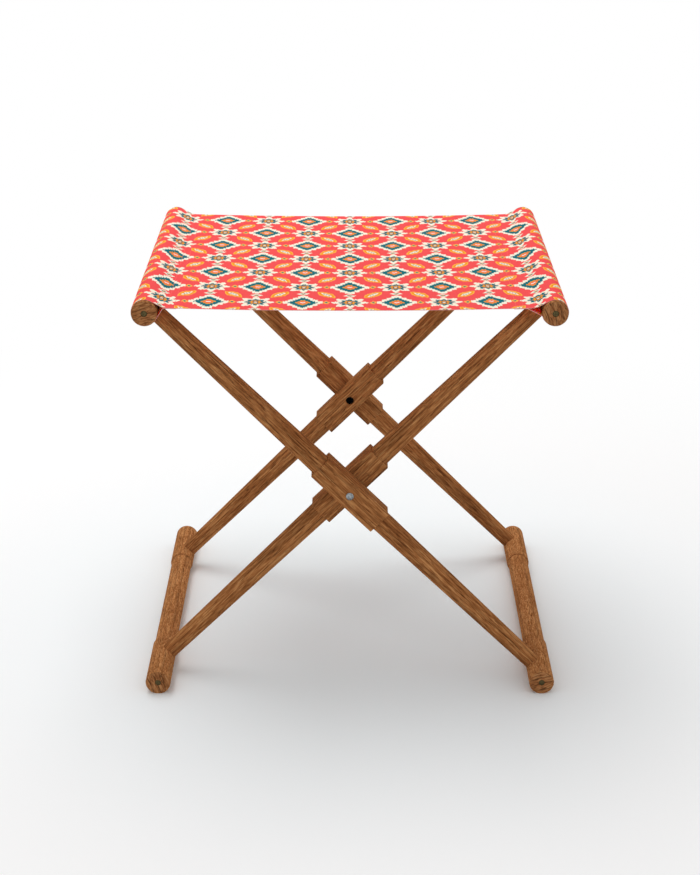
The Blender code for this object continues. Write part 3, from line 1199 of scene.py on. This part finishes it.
@dataclass(frozen=True)
class StoolMeasures:
    """Places and sizes of the stool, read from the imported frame."""

    pivot_z: float
    half_spread: float
    rail_length: float
    top_rail_z: float
    top_rail_radius: float
    foot_radius: float
    outer_leg_y: float
    inner_leg_y: float
    sling_length: float

    @classmethod
    def read(cls, frame: dict[str, Any]) -> StoolMeasures:
        """Reads the measures.

        Args:
            frame: The loaded frame.

        Returns:
            The measures.
        """
        top_low, top_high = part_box("top_rail_right")
        foot_low, foot_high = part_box("bottom_rail_right")
        outer_low, outer_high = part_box("leg_outer_rear")
        inner_low, inner_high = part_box("leg_inner_rear")
        sleeve_low, sleeve_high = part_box("sling_sleeve_right")
        return cls(
            pivot_z=frame["joints"][0]["pos_m"][2],
            half_spread=(top_low.x + top_high.x) / 2,
            rail_length=top_high.y - top_low.y,
            top_rail_z=(top_low.z + top_high.z) / 2,
            top_rail_radius=(top_high.z - top_low.z) / 2,
            foot_radius=(foot_high.x - foot_low.x) / 2,
            outer_leg_y=(outer_low.y + outer_high.y) / 2,
            inner_leg_y=(inner_low.y + inner_high.y) / 2,
            sling_length=sleeve_high.y - sleeve_low.y,
        )

    @property
    def leg_reach(self) -> float:
        """From the pivot to the axis of a rail, along a leg."""
        return math.hypot(self.half_spread, self.top_rail_z - self.pivot_z)

    @property
    def lean(self) -> float:
        """How far a leg leans from upright, in radians."""
        return math.atan2(self.half_spread, self.top_rail_z - self.pivot_z)


@dataclass
class CrossFrame:
    """One of the two crossed frames: a top rail, a foot rail, two legs and four pins.

    It is drawn upright about the pivot and then leaned over. The foot rail's two thick feet end
    in shoulders, and the leg is turned to two tapers on either side of a square pivot block.
    """

    measures: StoolMeasures
    word: str
    body: Body
    top_side: str
    bottom_side: str
    lean_sign: int
    leg_y: float
    pivot_bore: float
    seed: float
    leg_seed_step: float = 10.0
    end_easing: float = 0.0010
    pin_diameter: float = 0.0066
    pin_recess: float = 0.0004
    pin_edge: float = 0.0005
    pin_depth: float = 0.0120
    bore_gap: float = 0.0001
    foot_past_leg: float = 0.0175
    waist_step: float = 0.0015
    shoulder_easing: float = 0.0012
    shaft_at_block: float = 0.0238
    shaft_at_rail: float = 0.0178
    block_length: float = 0.0905
    block_side_step: float = 0.0016
    block_face_step: float = 0.0006
    block_edge: float = 0.0007
    block_edge_steps: int = 3
    seat_depth: float = 0.0002
    ring_turn: float = math.radians(-64)

    @property
    def upright(self) -> Matrix:
        """From the upright drawing to the stool's place for it."""
        lean = self.lean_sign * self.measures.lean
        return Matrix.Translation((0, 0, self.measures.pivot_z)) @ Matrix.Rotation(lean, 4, "Y")

    def build(self) -> None:
        """Makes every piece of the frame."""
        reach = self.measures.leg_reach
        self.add_top_rail(reach)
        self.add_bottom_rail(-reach)
        for end in End:
            self.add_leg(end)
            self.add_pin(f"top_{self.top_side}", reach, end)
            self.add_pin(f"bottom_{self.bottom_side}", -reach, end)

    def rail_section(self, half_section: Sequence[Point]) -> list[Point]:
        """A rail's half section with the bores of its pins.

        Args:
            half_section: The outside of its upper half, from the end to the middle.

        Returns:
            The whole section.
        """
        bore = self.pin_diameter / 2 + self.bore_gap
        end = self.measures.rail_length / 2
        floor = end - self.pin_depth
        return mirrored([(0.0, floor), (bore, floor), (bore, end), *half_section])

    def add_rail(
        self, name: str, half_section: Sequence[Point], height: float, finish: WoodFinish
    ) -> None:
        """Turns a rail and puts it in place.

        Args:
            name: The rail's name.
            half_section: The outside of its upper half, from the end to the middle.
            height: Where its axis is on the upright drawing.
            finish: Its wood.
        """
        centre = self.upright @ Vector((0, 0, height))
        bm = place(turned(self.rail_section(half_section)), Matrix.Translation(centre) @ along_y())
        if height < 0:
            self.plane_foot(bm)
        rail = add_object(name, bm)
        grain = (self.upright @ along_y()).to_3x3() @ Matrix.Rotation(self.ring_turn, 3, "Z")
        seed = self.seed + height
        rail.data.materials.append(finish.material(f"{name}_wood", centre, grain, seed))
        rail.data.materials.append(END_GRAIN.material(f"{name}_end_grain", centre, grain, seed))
        for face in rail.data.polygons:
            face.material_index = int(abs(face.normal.y) > END_FACE)
        hand_over(rail, self.body, name)

    def plane_foot(self, bm: bmesh.types.BMesh) -> None:
        """Planes a foot rail flat where it stands on the floor.

        Args:
            bm: The rail's shape.
        """
        geometry = [*bm.verts, *bm.edges, *bm.faces]
        cut = bmesh.ops.bisect_plane(bm, geom=geometry, plane_no=(0, 0, -1), clear_outer=True)
        rim = [item for item in cut["geom_cut"] if isinstance(item, bmesh.types.BMEdge)]
        bmesh.ops.holes_fill(bm, edges=rim)
        bmesh.ops.recalc_face_normals(bm, faces=bm.faces)

    def add_top_rail(self, height: float) -> None:
        """The plain round rail that carries one edge of the sling.

        Args:
            height: Where its axis is on the upright drawing.
        """
        end = self.measures.rail_length / 2
        half_section = eased(self.measures.top_rail_radius, end, self.end_easing)
        self.add_rail(f"top_rail_{self.top_side}", half_section, height, LEG_WOOD)

    def add_bottom_rail(self, height: float) -> None:
        """The rail that stands on the floor, slimmer between its two feet.

        Args:
            height: Where its axis is on the upright drawing.
        """
        radius = self.measures.foot_radius
        end = self.measures.rail_length / 2
        shoulder = self.measures.inner_leg_y - self.shaft_at_rail / 2 - self.foot_past_leg
        half_section = eased(radius, end, self.end_easing)
        half_section += eased(radius, shoulder, self.shoulder_easing, below=True)
        half_section.append((radius - self.waist_step, shoulder))
        self.add_rail(f"bottom_rail_{self.bottom_side}", half_section, height, FOOT_WOOD_PAINTED_LIGHTER)

    def shaft_section(self) -> list[Point]:
        """Half section of the leg's two tapers.

        Returns:
            The section, from one rail's axis to the other's.
        """
        thick = self.shaft_at_block / 2
        thin = self.shaft_at_rail / 2
        shoulder = self.block_length / 2
        reach = self.measures.leg_reach
        taper = (thick - thin) / (reach - self.measures.top_rail_radius - shoulder)
        tip = thick - taper * (reach - shoulder)
        return mirrored([(0.0, reach), (tip, reach), (thick, shoulder)])

    def pivot_block(self) -> bmesh.types.BMesh:
        """The square block at mid-leg, with eased edges.

        Returns:
            The block, about the pivot.
        """
        bm = bmesh.new()
        bmesh.ops.create_cube(bm, size=1.0)
        width = self.shaft_at_block + 2 * self.block_side_step
        depth = self.shaft_at_block + 2 * self.block_face_step
        bmesh.ops.scale(bm, verts=bm.verts, vec=(width, depth, self.block_length))
        bmesh.ops.bevel(
            bm,
            geom=bm.edges,
            offset=self.block_edge,
            segments=self.block_edge_steps,
            profile=0.5,
            affect="EDGES",
            material=-1,
        )
        return bm

    def add_leg(self, end: End) -> None:
        """A turned leg, coped to both rails.

        Args:
            end: Whether it is the front or the rear leg.
        """
        name = f"leg_{self.word}_{end.word}"
        reach = self.measures.leg_reach
        at = self.upright @ Matrix.Translation((0, end.value * self.leg_y, 0))
        leg = add_object(name, place(turned(self.shaft_section()), at))
        tools = [(add_object(f"{name}_block", place(self.pivot_block(), at)), Cut.JOIN)]
        length = self.measures.rail_length
        cuts = (
            (self.measures.top_rail_radius - self.seat_depth, reach),
            (self.measures.foot_radius - self.seat_depth, -reach),
            (self.pivot_bore / 2, 0.0),
        )
        for radius, height in cuts:
            cutter = rod(radius, length, -length)
            place(cutter, self.upright @ Matrix.Translation((0, 0, height)) @ along_y())
            tools.append((add_object(f"{name}_cut_{len(tools)}", cutter), Cut.TAKE))
        carve(leg, tools)
        seed = self.seed + self.leg_seed_step * end.value
        grain = at.to_3x3() @ Matrix.Rotation(seed, 3, "Z")
        material = LEG_WOOD.material(f"{name}_wood", at.translation, grain, seed)
        leg.data.materials.clear()
        leg.data.materials.append(material)
        hand_over(leg, self.body, name)

    def add_pin(self, rail: str, height: float, end: End) -> None:
        """The end of a pin, let into a rail end.

        Args:
            rail: Which rail it is in.
            height: Where the rail's axis is on the upright drawing.
            end: Which end of the rail it is in.
        """
        name = f"tenon_pin_{rail}_{end.word}"
        radius = self.pin_diameter / 2
        face = self.measures.rail_length / 2 - self.pin_recess
        foot = face - self.pin_depth + self.pin_edge
        section = [(0.0, face), *eased(radius, face, self.pin_edge), (radius, foot), (0.0, foot)]
        at = self.upright @ Matrix.Translation((0, 0, height)) @ along_y(end.value)
        pin = add_object(name, place(turned(section, SMALL_ROUND_STEPS), at))
        pin.data.materials.append(PIN_STEEL.material(f"{name}_steel", self.seed + height))
        hand_over(pin, self.body, name)


@dataclass
class Pivot:
    """Bolt, washer and barrel nut on which the inner leg turns, at one end of the stool."""

    measures: StoolMeasures
    end: End
    head_diameter: float = 0.0085
    head_rim: float = 0.0008
    rim_easing: float = 0.0003
    shank_diameter: float = 0.0050
    shank_length: float = 0.0200
    nut_diameter: float = 0.0092
    nut_edge: float = 0.0005
    socket_diameter: float = 0.0046
    socket_depth: float = 0.0030
    washer_edge: float = 0.0002

    def build(self) -> None:
        """Makes the three pieces."""
        self.add_bolt()
        self.add_nut()
        self.add_washer()

    def span(self, node: str) -> tuple[float, float]:
        """How far a solid reaches along Y.

        Args:
            node: The solid.

        Returns:
            The distances of its near and its far end from the middle of the stool.
        """
        low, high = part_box(node)
        near, far = sorted((abs(low.y), abs(high.y)))
        return near, far

    def add_piece(self, name: str, section: Sequence[Point], finish: SteelFinish) -> None:
        """Turns a piece about the pivot's axis.

        Args:
            name: What the piece is, without the end that it is at.
            section: Its half section, by distance from the middle of the stool.
            finish: Its steel.
        """
        full_name = f"{name}_{self.end.word}"
        at = Matrix.Translation((0, 0, self.measures.pivot_z)) @ along_y(self.end.value)
        piece = add_object(full_name, place(turned(section, SMALL_ROUND_STEPS), at))
        piece.data.materials.append(finish.material(f"{full_name}_steel", float(self.end.value)))
        hand_over(piece, Body.OUTER, full_name)

    def add_bolt(self) -> None:
        """The bolt with its low domed head."""
        _, crown = self.span(f"pivot_bolt_{self.end.word}")
        _, leg_face = self.span(f"leg_outer_{self.end.word}")
        head = self.head_diameter / 2
        shank = self.shank_diameter / 2
        easing = self.rim_easing
        rim = leg_face + self.head_rim
        rise = crown - rim
        sphere = (head * head + rise * rise) / (2 * rise)
        half_turn = math.asin(head / sphere)
        dome = arc((0.0, crown - sphere), sphere, math.pi / 2, math.pi / 2 - half_turn, 3 * ARC_STEPS)
        section = [*dome[:-1], (head - easing, rim + easing / 2), (head, rim - easing), (head, leg_face)]
        tail = leg_face - self.shank_length
        section += [(shank, leg_face), (shank, tail), (0.0, tail)]
        self.add_piece("pivot_bolt", section, BOLT_STEEL)

    def add_nut(self) -> None:
        """The black barrel nut with its round socket."""
        near, far = self.span(f"barrel_nut_{self.end.word}")
        barrel = self.nut_diameter / 2
        socket = self.socket_diameter / 2
        edge = self.nut_edge
        floor = near + self.socket_depth
        section = [(0.0, far), (barrel, far), *eased(barrel, near, edge, below=True)]
        section += [(socket + edge, near), (socket, near + edge)]
        section += [(socket, floor), (0.0, floor + socket / 2)]
        self.add_piece("barrel_nut", section, BLACK_STEEL)

    def add_washer(self) -> None:
        """The spacer between the two blocks."""
        name = f"spacer_washer_{self.end.word}"
        near, far = self.span(name)
        low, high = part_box(name)
        radius = (high.x - low.x) / 2
        section = [(0.0, far), *eased(radius, far, self.washer_edge)]
        section += [*eased(radius, near, self.washer_edge, below=True), (0.0, near)]
        self.add_piece("spacer_washer", section, BOLT_STEEL)


@dataclass
class Sling:
    """The seat cloth: a panel, and at each rail a sleeve whose end is sewn back under the panel.

    A sleeve is drawn as a path of (inwards, up) from its rail's axis. It starts at the hem, goes
    up the lower layer, round the rail and down the upper layer to the panel.
    """

    measures: StoolMeasures
    outer_frame: CrossFrame
    inner_frame: CrossFrame
    thickness: float = 0.0005
    rail_gap: float = 0.0001
    layer_gap: float = 0.0001
    seam_inset: float = 0.0200
    seam_rise: float = 0.0050
    outer_heel: float = 0.0190
    inner_heel: float = 0.0285
    inner_crease: float = math.radians(-15)
    crease_radius: float = 0.0022
    crease_steps: int = 3
    crown_radius: float = 0.0180
    heel_radius: float = 0.0016
    hem_width: float = 0.0140
    sag: float = 0.0027
    panel_half_width: float = 0.1700
    end_margin: float = 0.0024
    slot_margin: float = 0.0012
    fold_reach: float = 0.2400
    wrap_steps: int = 56
    length_steps: int = 40
    panel_steps: int = 80
    rim: float = 0.0002
    stitch_pitch: float = 0.0036
    stitch_length: float = 0.0026
    stitch_width: float = 0.00055
    stitch_roundness: int = 2
    row_inset: float = 0.0026
    face: bpy.types.Material = field(init=False)
    back: bpy.types.Material = field(init=False)
    sleeve_back_painted_glow: bpy.types.Material = field(init=False)
    edge: bpy.types.Material = field(init=False)
    thread: bpy.types.Material = field(init=False)

    def build(self) -> None:
        """Makes the panel, the sleeves and the stitches."""
        self.face = SLING_COTTON.material("sling_face", Side.FACE)
        self.back = SLING_COTTON.material("sling_back", Side.BACK)
        # Inside the sleeves the back is printed stronger, a painted red glow of light through the cloth
        self.sleeve_back_painted_glow = SLING_COTTON.material("sling_sleeve_back_painted_glow", Side.SLEEVE_BACK_PAINTED_GLOW)
        self.edge = SLING_COTTON.edge_material("sling_edge")
        self.thread = SEWING_THREAD.material("sewing_thread")
        self.add_panel()
        for frame in (self.outer_frame, self.inner_frame):
            self.add_sleeve(frame)
            self.add_stitches(frame)

    @property
    def length(self) -> float:
        """The cloth's length along the rails, a little less than its plain solid's."""
        return self.measures.sling_length - 2 * self.end_margin

    @property
    def seam_x(self) -> float:
        """How far from the middle of the seat the seams are."""
        return self.measures.half_spread - self.seam_inset

    @property
    def hem_rise(self) -> float:
        """How high above the rail's axis the hem lies, under the panel."""
        return self.seam_rise - self.thickness - self.layer_gap

    def heel_inset(self, frame: CrossFrame) -> float:
        """How far inwards from its rail a sleeve turns back into its hem."""
        return self.outer_heel if frame is self.outer_frame else self.inner_heel

    def sag_at(self, x: float) -> float:
        """How far the cloth hangs below its seams at a place across the seat."""
        return self.sag * max(0.0, 1 - (x / self.seam_x) ** 2)

    def path(self, frame: CrossFrame) -> list[Point]:
        """A sleeve's section at the middle of the cloth's thickness.

        Args:
            frame: The frame whose rail the sleeve is on.

        Returns:
            The path, from the hem to the panel.
        """
        radius = self.measures.top_rail_radius + self.rail_gap + self.thickness / 2
        crown = Vector((self.seam_inset, self.seam_rise))
        heel = Vector((self.heel_inset(frame), self.hem_rise))
        panel_edge = Vector((self.measures.half_spread - self.panel_half_width, self.seam_rise))
        hem_end = heel + Vector((self.hem_width, 0.0))
        above = math.atan2(crown.y, crown.x) + math.acos(radius / crown.length)
        below = math.atan2(heel.y, heel.x) - math.acos(radius / heel.length)
        if frame is self.inner_frame:
            below = self.inner_crease
        wrap = arc((0.0, 0.0), radius, below, above - math.tau, self.wrap_steps)
        heel_arc = rounded_corner(hem_end, heel, Vector(wrap[0]), self.heel_radius)
        if frame is self.inner_frame:
            start, after = Vector(wrap[0]), Vector(wrap[self.crease_steps])
            wrap = rounded_corner(heel, start, after, self.crease_radius) + wrap[self.crease_steps:]
        crown_arc = rounded_corner(Vector(wrap[-1]), crown, panel_edge, self.crown_radius, 2 * ARC_STEPS)
        points = [tuple(hem_end)]
        for run in (heel_arc, wrap, crown_arc, [tuple(panel_edge)]):
            points += between(points[-1], run[0]) + run
        return points

    def on_seat(self, frame: CrossFrame, point: Point) -> Point:
        """Where a point of a sleeve's path is on the stool.

        Args:
            frame: The frame whose rail the sleeve is on.
            point: The point, inwards and up from the rail's axis.

        Returns:
            Its x and z.
        """
        x = frame.lean_sign * (self.measures.half_spread - point[0])
        hang = self.sag_at(x) if point[0] > self.seam_inset else 0.0
        return x, self.measures.top_rail_z + point[1] - hang

    def add_cloth(
        self, name: str, bm: bmesh.types.BMesh, inside: bpy.types.Material
    ) -> bpy.types.Object:
        """Makes an object of a sheet, whose UV map holds metres across and along the cloth.

        Args:
            name: The object's name.
            bm: The sheet, with a vertex layer that holds the distance across the cloth.
            inside: The material of its inner side.

        Returns:
            The object.
        """
        across = bm.verts.layers.float["across"]
        layer = bm.loops.layers.uv.new(SLING_COTTON.uv_layer)
        for face in bm.faces:
            for loop in face.loops:
                loop[layer].uv = (loop.vert[across], loop.vert.co.y)
        cloth = add_object(name, bm)
        for material in (self.face, inside, self.edge):
            cloth.data.materials.append(material)
        wall = cloth.modifiers.new("cloth_thickness", "SOLIDIFY")
        wall.thickness = self.thickness
        wall.offset = 0.0
        wall.use_even_offset = True
        wall.material_offset = 1
        wall.material_offset_rim = 2
        return cloth

    def add_panel(self) -> None:
        """The seat between the two sleeves."""
        name = "sling_panel"
        bm = bmesh.new()
        bmesh.ops.create_grid(bm, x_segments=self.panel_steps, y_segments=self.length_steps, size=1.0)
        half_length = self.length / 2
        bmesh.ops.scale(bm, verts=bm.verts, vec=(self.panel_half_width, half_length, 1.0))
        bmesh.ops.inset_region(bm, faces=bm.faces, thickness=self.rim, use_boundary=True)
        across = bm.verts.layers.float.new("across")
        for vert in bm.verts:
            vert[across] = vert.co.x
            vert.co.z = self.measures.top_rail_z + self.seam_rise - self.sag_at(vert.co.x)
        panel = self.add_cloth(f"{name}_cloth", bm, self.back)
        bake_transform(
            panel,
            Body.OUTER.value,
            Body.INNER.value,
            start=(-self.fold_reach, 0, 0),
            end=(self.fold_reach, 0, 0),
        )
        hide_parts(name)
        2 * self.panel_half_width
        self.length
        LOG.info("%s bends between the frames, %d faces", panel.name, len(panel.data.polygons))

    def sleeve_sheet(self, frame: CrossFrame) -> tuple[bmesh.types.BMesh, float]:
        """Sweeps a sleeve's path along its rail.

        Args:
            frame: The frame whose rail it is on.

        Returns:
            The sheet, and how wide it is from the panel to the hem.
        """
        bm = bmesh.new()
        across = bm.verts.layers.float.new("across")
        run = frame.lean_sign * self.panel_half_width
        chain = []
        points = self.path(frame)
        last = points[-1]
        for point in reversed(points):
            run += frame.lean_sign * math.dist(point, last)
            last = point
            x, z = self.on_seat(frame, point)
            vert = bm.verts.new((x, -self.length / 2, z))
            vert[across] = run
            chain.append(vert)
        edges = [bm.edges.new(pair) for pair in zip(chain, chain[1:])]
        bmesh.ops.spin(
            bm,
            geom=chain + edges,
            cent=(0, 0, 0),
            axis=(0, 0, 1),
            dvec=(0, self.length / self.length_steps, 0),
            steps=self.length_steps,
        )
        bmesh.ops.recalc_face_normals(bm, faces=bm.faces)
        top = max(bm.faces, key=lambda face: face.calc_center_median().z)
        if top.normal.z < 0:
            bmesh.ops.reverse_faces(bm, faces=bm.faces)
        return bm, abs(run) - self.panel_half_width

    def add_sleeve(self, frame: CrossFrame) -> None:
        """The cloth round one rail, slotted where the legs reach the rail.

        Args:
            frame: The frame whose rail it is on.
        """
        node = f"sling_sleeve_{frame.top_side}"
        sheet, width = self.sleeve_sheet(frame)
        sleeve = self.add_cloth(f"{node}_cloth", sheet, self.sleeve_back_painted_glow)
        carve(sleeve, [(self.leg_slot(frame, end), Cut.TAKE) for end in End])
        self.bend_sleeve(sleeve, frame)
        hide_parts(node)
        self.length
        LOG.info("%s goes round its rail, %d faces", sleeve.name, len(sleeve.data.polygons))

    def leg_slot(self, frame: CrossFrame, end: End) -> bpy.types.Object:
        """The helper that cuts the opening for one leg.

        Args:
            frame: The frame whose leg it is.
            end: Which of its legs.

        Returns:
            The helper.
        """
        radius = frame.shaft_at_rail / 2 + self.slot_margin
        cutter = rod(radius, self.measures.leg_reach, 0.0)
        place(cutter, frame.upright @ Matrix.Translation((0, end.value * frame.leg_y, 0)))
        slot = add_object(f"slot_{frame.word}_{end.word}", cutter)
        slot.data.materials.append(self.edge)
        return slot

    def bend_sleeve(self, thing: bpy.types.Object, frame: CrossFrame) -> None:
        """Lets a sleeve, or what is on it, follow its rail up to the seam and then turn with the panel.

        Args:
            thing: The piece.
            frame: The frame whose rail it is on.
        """
        turned_share = (self.fold_reach - self.panel_half_width) / (2 * self.fold_reach)
        reach = (self.seam_x - self.panel_half_width) / turned_share
        ends = sorted((frame.lean_sign * self.seam_x, frame.lean_sign * (self.seam_x - reach)))
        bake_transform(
            thing,
            Body.OUTER.value,
            Body.INNER.value,
            start=(ends[0], 0, 0),
            end=(ends[1], 0, 0),
        )

    def add_stitches(self, frame: CrossFrame) -> None:
        """Two rows of stitches through a hem, on both of its sides.

        Args:
            frame: The frame whose rail the hem belongs to.
        """
        bm = bmesh.new()
        half_width, half_stitch = self.stitch_width / 2, self.stitch_length / 2
        size = Matrix.Diagonal((half_width, half_stitch, half_width, 1.0))
        half_length = self.length / 2 - self.row_inset
        count = int(2 * half_length / self.stitch_pitch)
        under = self.hem_rise - self.thickness / 2
        over = self.seam_rise + self.thickness / 2
        for inset in (self.row_inset + self.heel_radius, self.hem_width - self.row_inset):
            for rise, shift in ((over, 0.0), (under, 0.5)):
                x, z = self.on_seat(frame, (self.heel_inset(frame) + inset, rise))
                for number in range(count):
                    y = -half_length + (number + shift) * self.stitch_pitch
                    bmesh.ops.create_icosphere(
                        bm,
                        subdivisions=self.stitch_roundness,
                        radius=1.0,
                        matrix=Matrix.Translation((x, y, z)) @ size,
                    )
        stitches = add_object(f"sling_stitches_{frame.top_side}", bm)
        stitches.data.materials.append(self.thread)
        self.bend_sleeve(stitches, frame)
        LOG.info("%s holds the hem, %d faces", stitches.name, len(stitches.data.polygons))


@dataclass
class Studio:
    """Camera, pale floor and soft light.

    Near the stool the floor is a little cool, which offsets the warm light that wood and cloth
    throw on it.
    """

    camera_place: tuple[float, float, float] = (0.0002, -2.1100, 1.0040)
    camera_pitch: float = 0.35385
    lens: float = 79.68
    sensor: float = 36.0
    floor_size: float = 9.0
    floor_colour: Colour = (0.96, 0.96, 0.96)
    bounce_colour: Colour = (0.895, 0.974, 1.0)
    bounce_reach: float = 0.70
    fade_start: float = 0.44
    fade_end: float = 1.18
    sky_strength: float = 0.65
    key_place: tuple[float, float, float] = (-0.40, 0.85, 2.70)
    key_size: Point = (1.80, 2.40)
    key_power: float = 35.0

    def build(self) -> None:
        """Sets up the whole studio."""
        self.add_camera()
        self.add_floor()
        self.add_sky()
        self.add_key_light()
        bpy.context.scene.view_settings.view_transform = "Standard"

    def add_camera(self) -> None:
        """The camera, a little above the seat and straight in front of the stool."""
        data = bpy.data.cameras.new("camera")
        data.lens = self.lens
        data.sensor_width = self.sensor
        camera = link_object("camera", data)
        camera.location = self.camera_place
        camera.rotation_euler = (math.pi / 2 - self.camera_pitch, 0.0, 0.0)
        bpy.context.scene.camera = camera

    def seen_directly(self, tree: bpy.types.NodeTree) -> bpy.types.NodeSocket:
        """A socket that is 1 for what the eye, a reflection or clear glass sees.

        Args:
            tree: The node tree that needs it.

        Returns:
            The socket.
        """
        path = tree.nodes.new("ShaderNodeLightPath")
        seen = path.outputs["Is Camera Ray"]
        for name in ("Is Glossy Ray", "Is Transmission Ray"):
            either = tree.nodes.new("ShaderNodeMath")
            either.operation = "MAXIMUM"
            tree.links.new(seen, either.inputs[0])
            tree.links.new(path.outputs[name], either.inputs[1])
            seen = either.outputs["Value"]
        return seen

    def add_floor(self) -> None:
        """The floor, which keeps the stool's shadow and turns plain white further out."""
        bm = bmesh.new()
        bmesh.ops.create_grid(bm, x_segments=1, y_segments=1, size=self.floor_size)
        floor = add_object("floor", bm)
        graph = NodeGraph("floor_white")
        x, y, _ = graph.parts(graph.object_point(Vector(), Matrix.Identity(3)))
        distance = graph.length(x, y)
        seen = Signal(graph, self.seen_directly(graph.tree))
        tint = distance.over(0.0, self.bounce_reach)
        matt = graph.node("ShaderNodeBsdfDiffuse")
        graph.feed(matt.inputs["Color"], graph.mix(tint, self.bounce_colour, self.floor_colour))
        glow = graph.node("ShaderNodeEmission")
        both = graph.node("ShaderNodeMixShader")
        graph.feed(both.inputs["Fac"], distance.over(self.fade_start, self.fade_end) * seen)
        output = graph.tree.nodes["Material Output"]
        links = (
            (matt.outputs["BSDF"], both.inputs[1]),
            (glow.outputs["Emission"], both.inputs[2]),
            (both.outputs["Shader"], output.inputs["Surface"]),
        )
        for start, end in links:
            graph.tree.links.new(start, end)
        graph.tree.nodes.remove(graph.shader)
        floor.data.materials.append(graph.material)

    def add_sky(self) -> None:
        """An even white sky: plain light on the stool, and white where it is seen directly."""
        world = bpy.data.worlds.new("sky")
        world.use_nodes = True
        tree = world.node_tree
        background = tree.nodes["Background"]
        background.inputs["Color"].default_value = WHITE
        level = tree.nodes.new("ShaderNodeMapRange")
        tree.links.new(self.seen_directly(tree), level.inputs["Value"])
        level.inputs["To Min"].default_value = self.sky_strength
        level.inputs["To Max"].default_value = 1.0
        tree.links.new(level.outputs["Result"], background.inputs["Strength"])
        bpy.context.scene.world = world

    def add_key_light(self) -> None:
        """The long soft box overhead, which reaches back from the stool and a little to its left."""
        data = bpy.data.lights.new("soft_box", "AREA")
        data.shape = "ELLIPSE"
        data.size, data.size_y = self.key_size
        data.energy = self.key_power
        lamp = link_object("soft_box", data)
        lamp.location = self.key_place


def main() -> None:
    """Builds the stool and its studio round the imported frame."""
    logging.basicConfig(level=logging.INFO, format="%(name)s: %(message)s")
    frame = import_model()
    measures = StoolMeasures.read(frame)
    Studio().build()
    outer = CrossFrame(
        measures,
        "outer",
        Body.OUTER,
        top_side="left",
        bottom_side="right",
        lean_sign=-1,
        leg_y=measures.outer_leg_y,
        pivot_bore=BOLT_BORE,
        seed=OUTER_SEED,
    )
    inner = CrossFrame(
        measures,
        "inner",
        Body.INNER,
        top_side="right",
        bottom_side="left",
        lean_sign=1,
        leg_y=measures.inner_leg_y,
        pivot_bore=NUT_BORE,
        seed=INNER_SEED,
    )
    outer.build()
    inner.build()
    for end in End:
        Pivot(measures, end).build()
    Sling(measures, outer, inner).build()


if __name__ == "__main__":
    main()
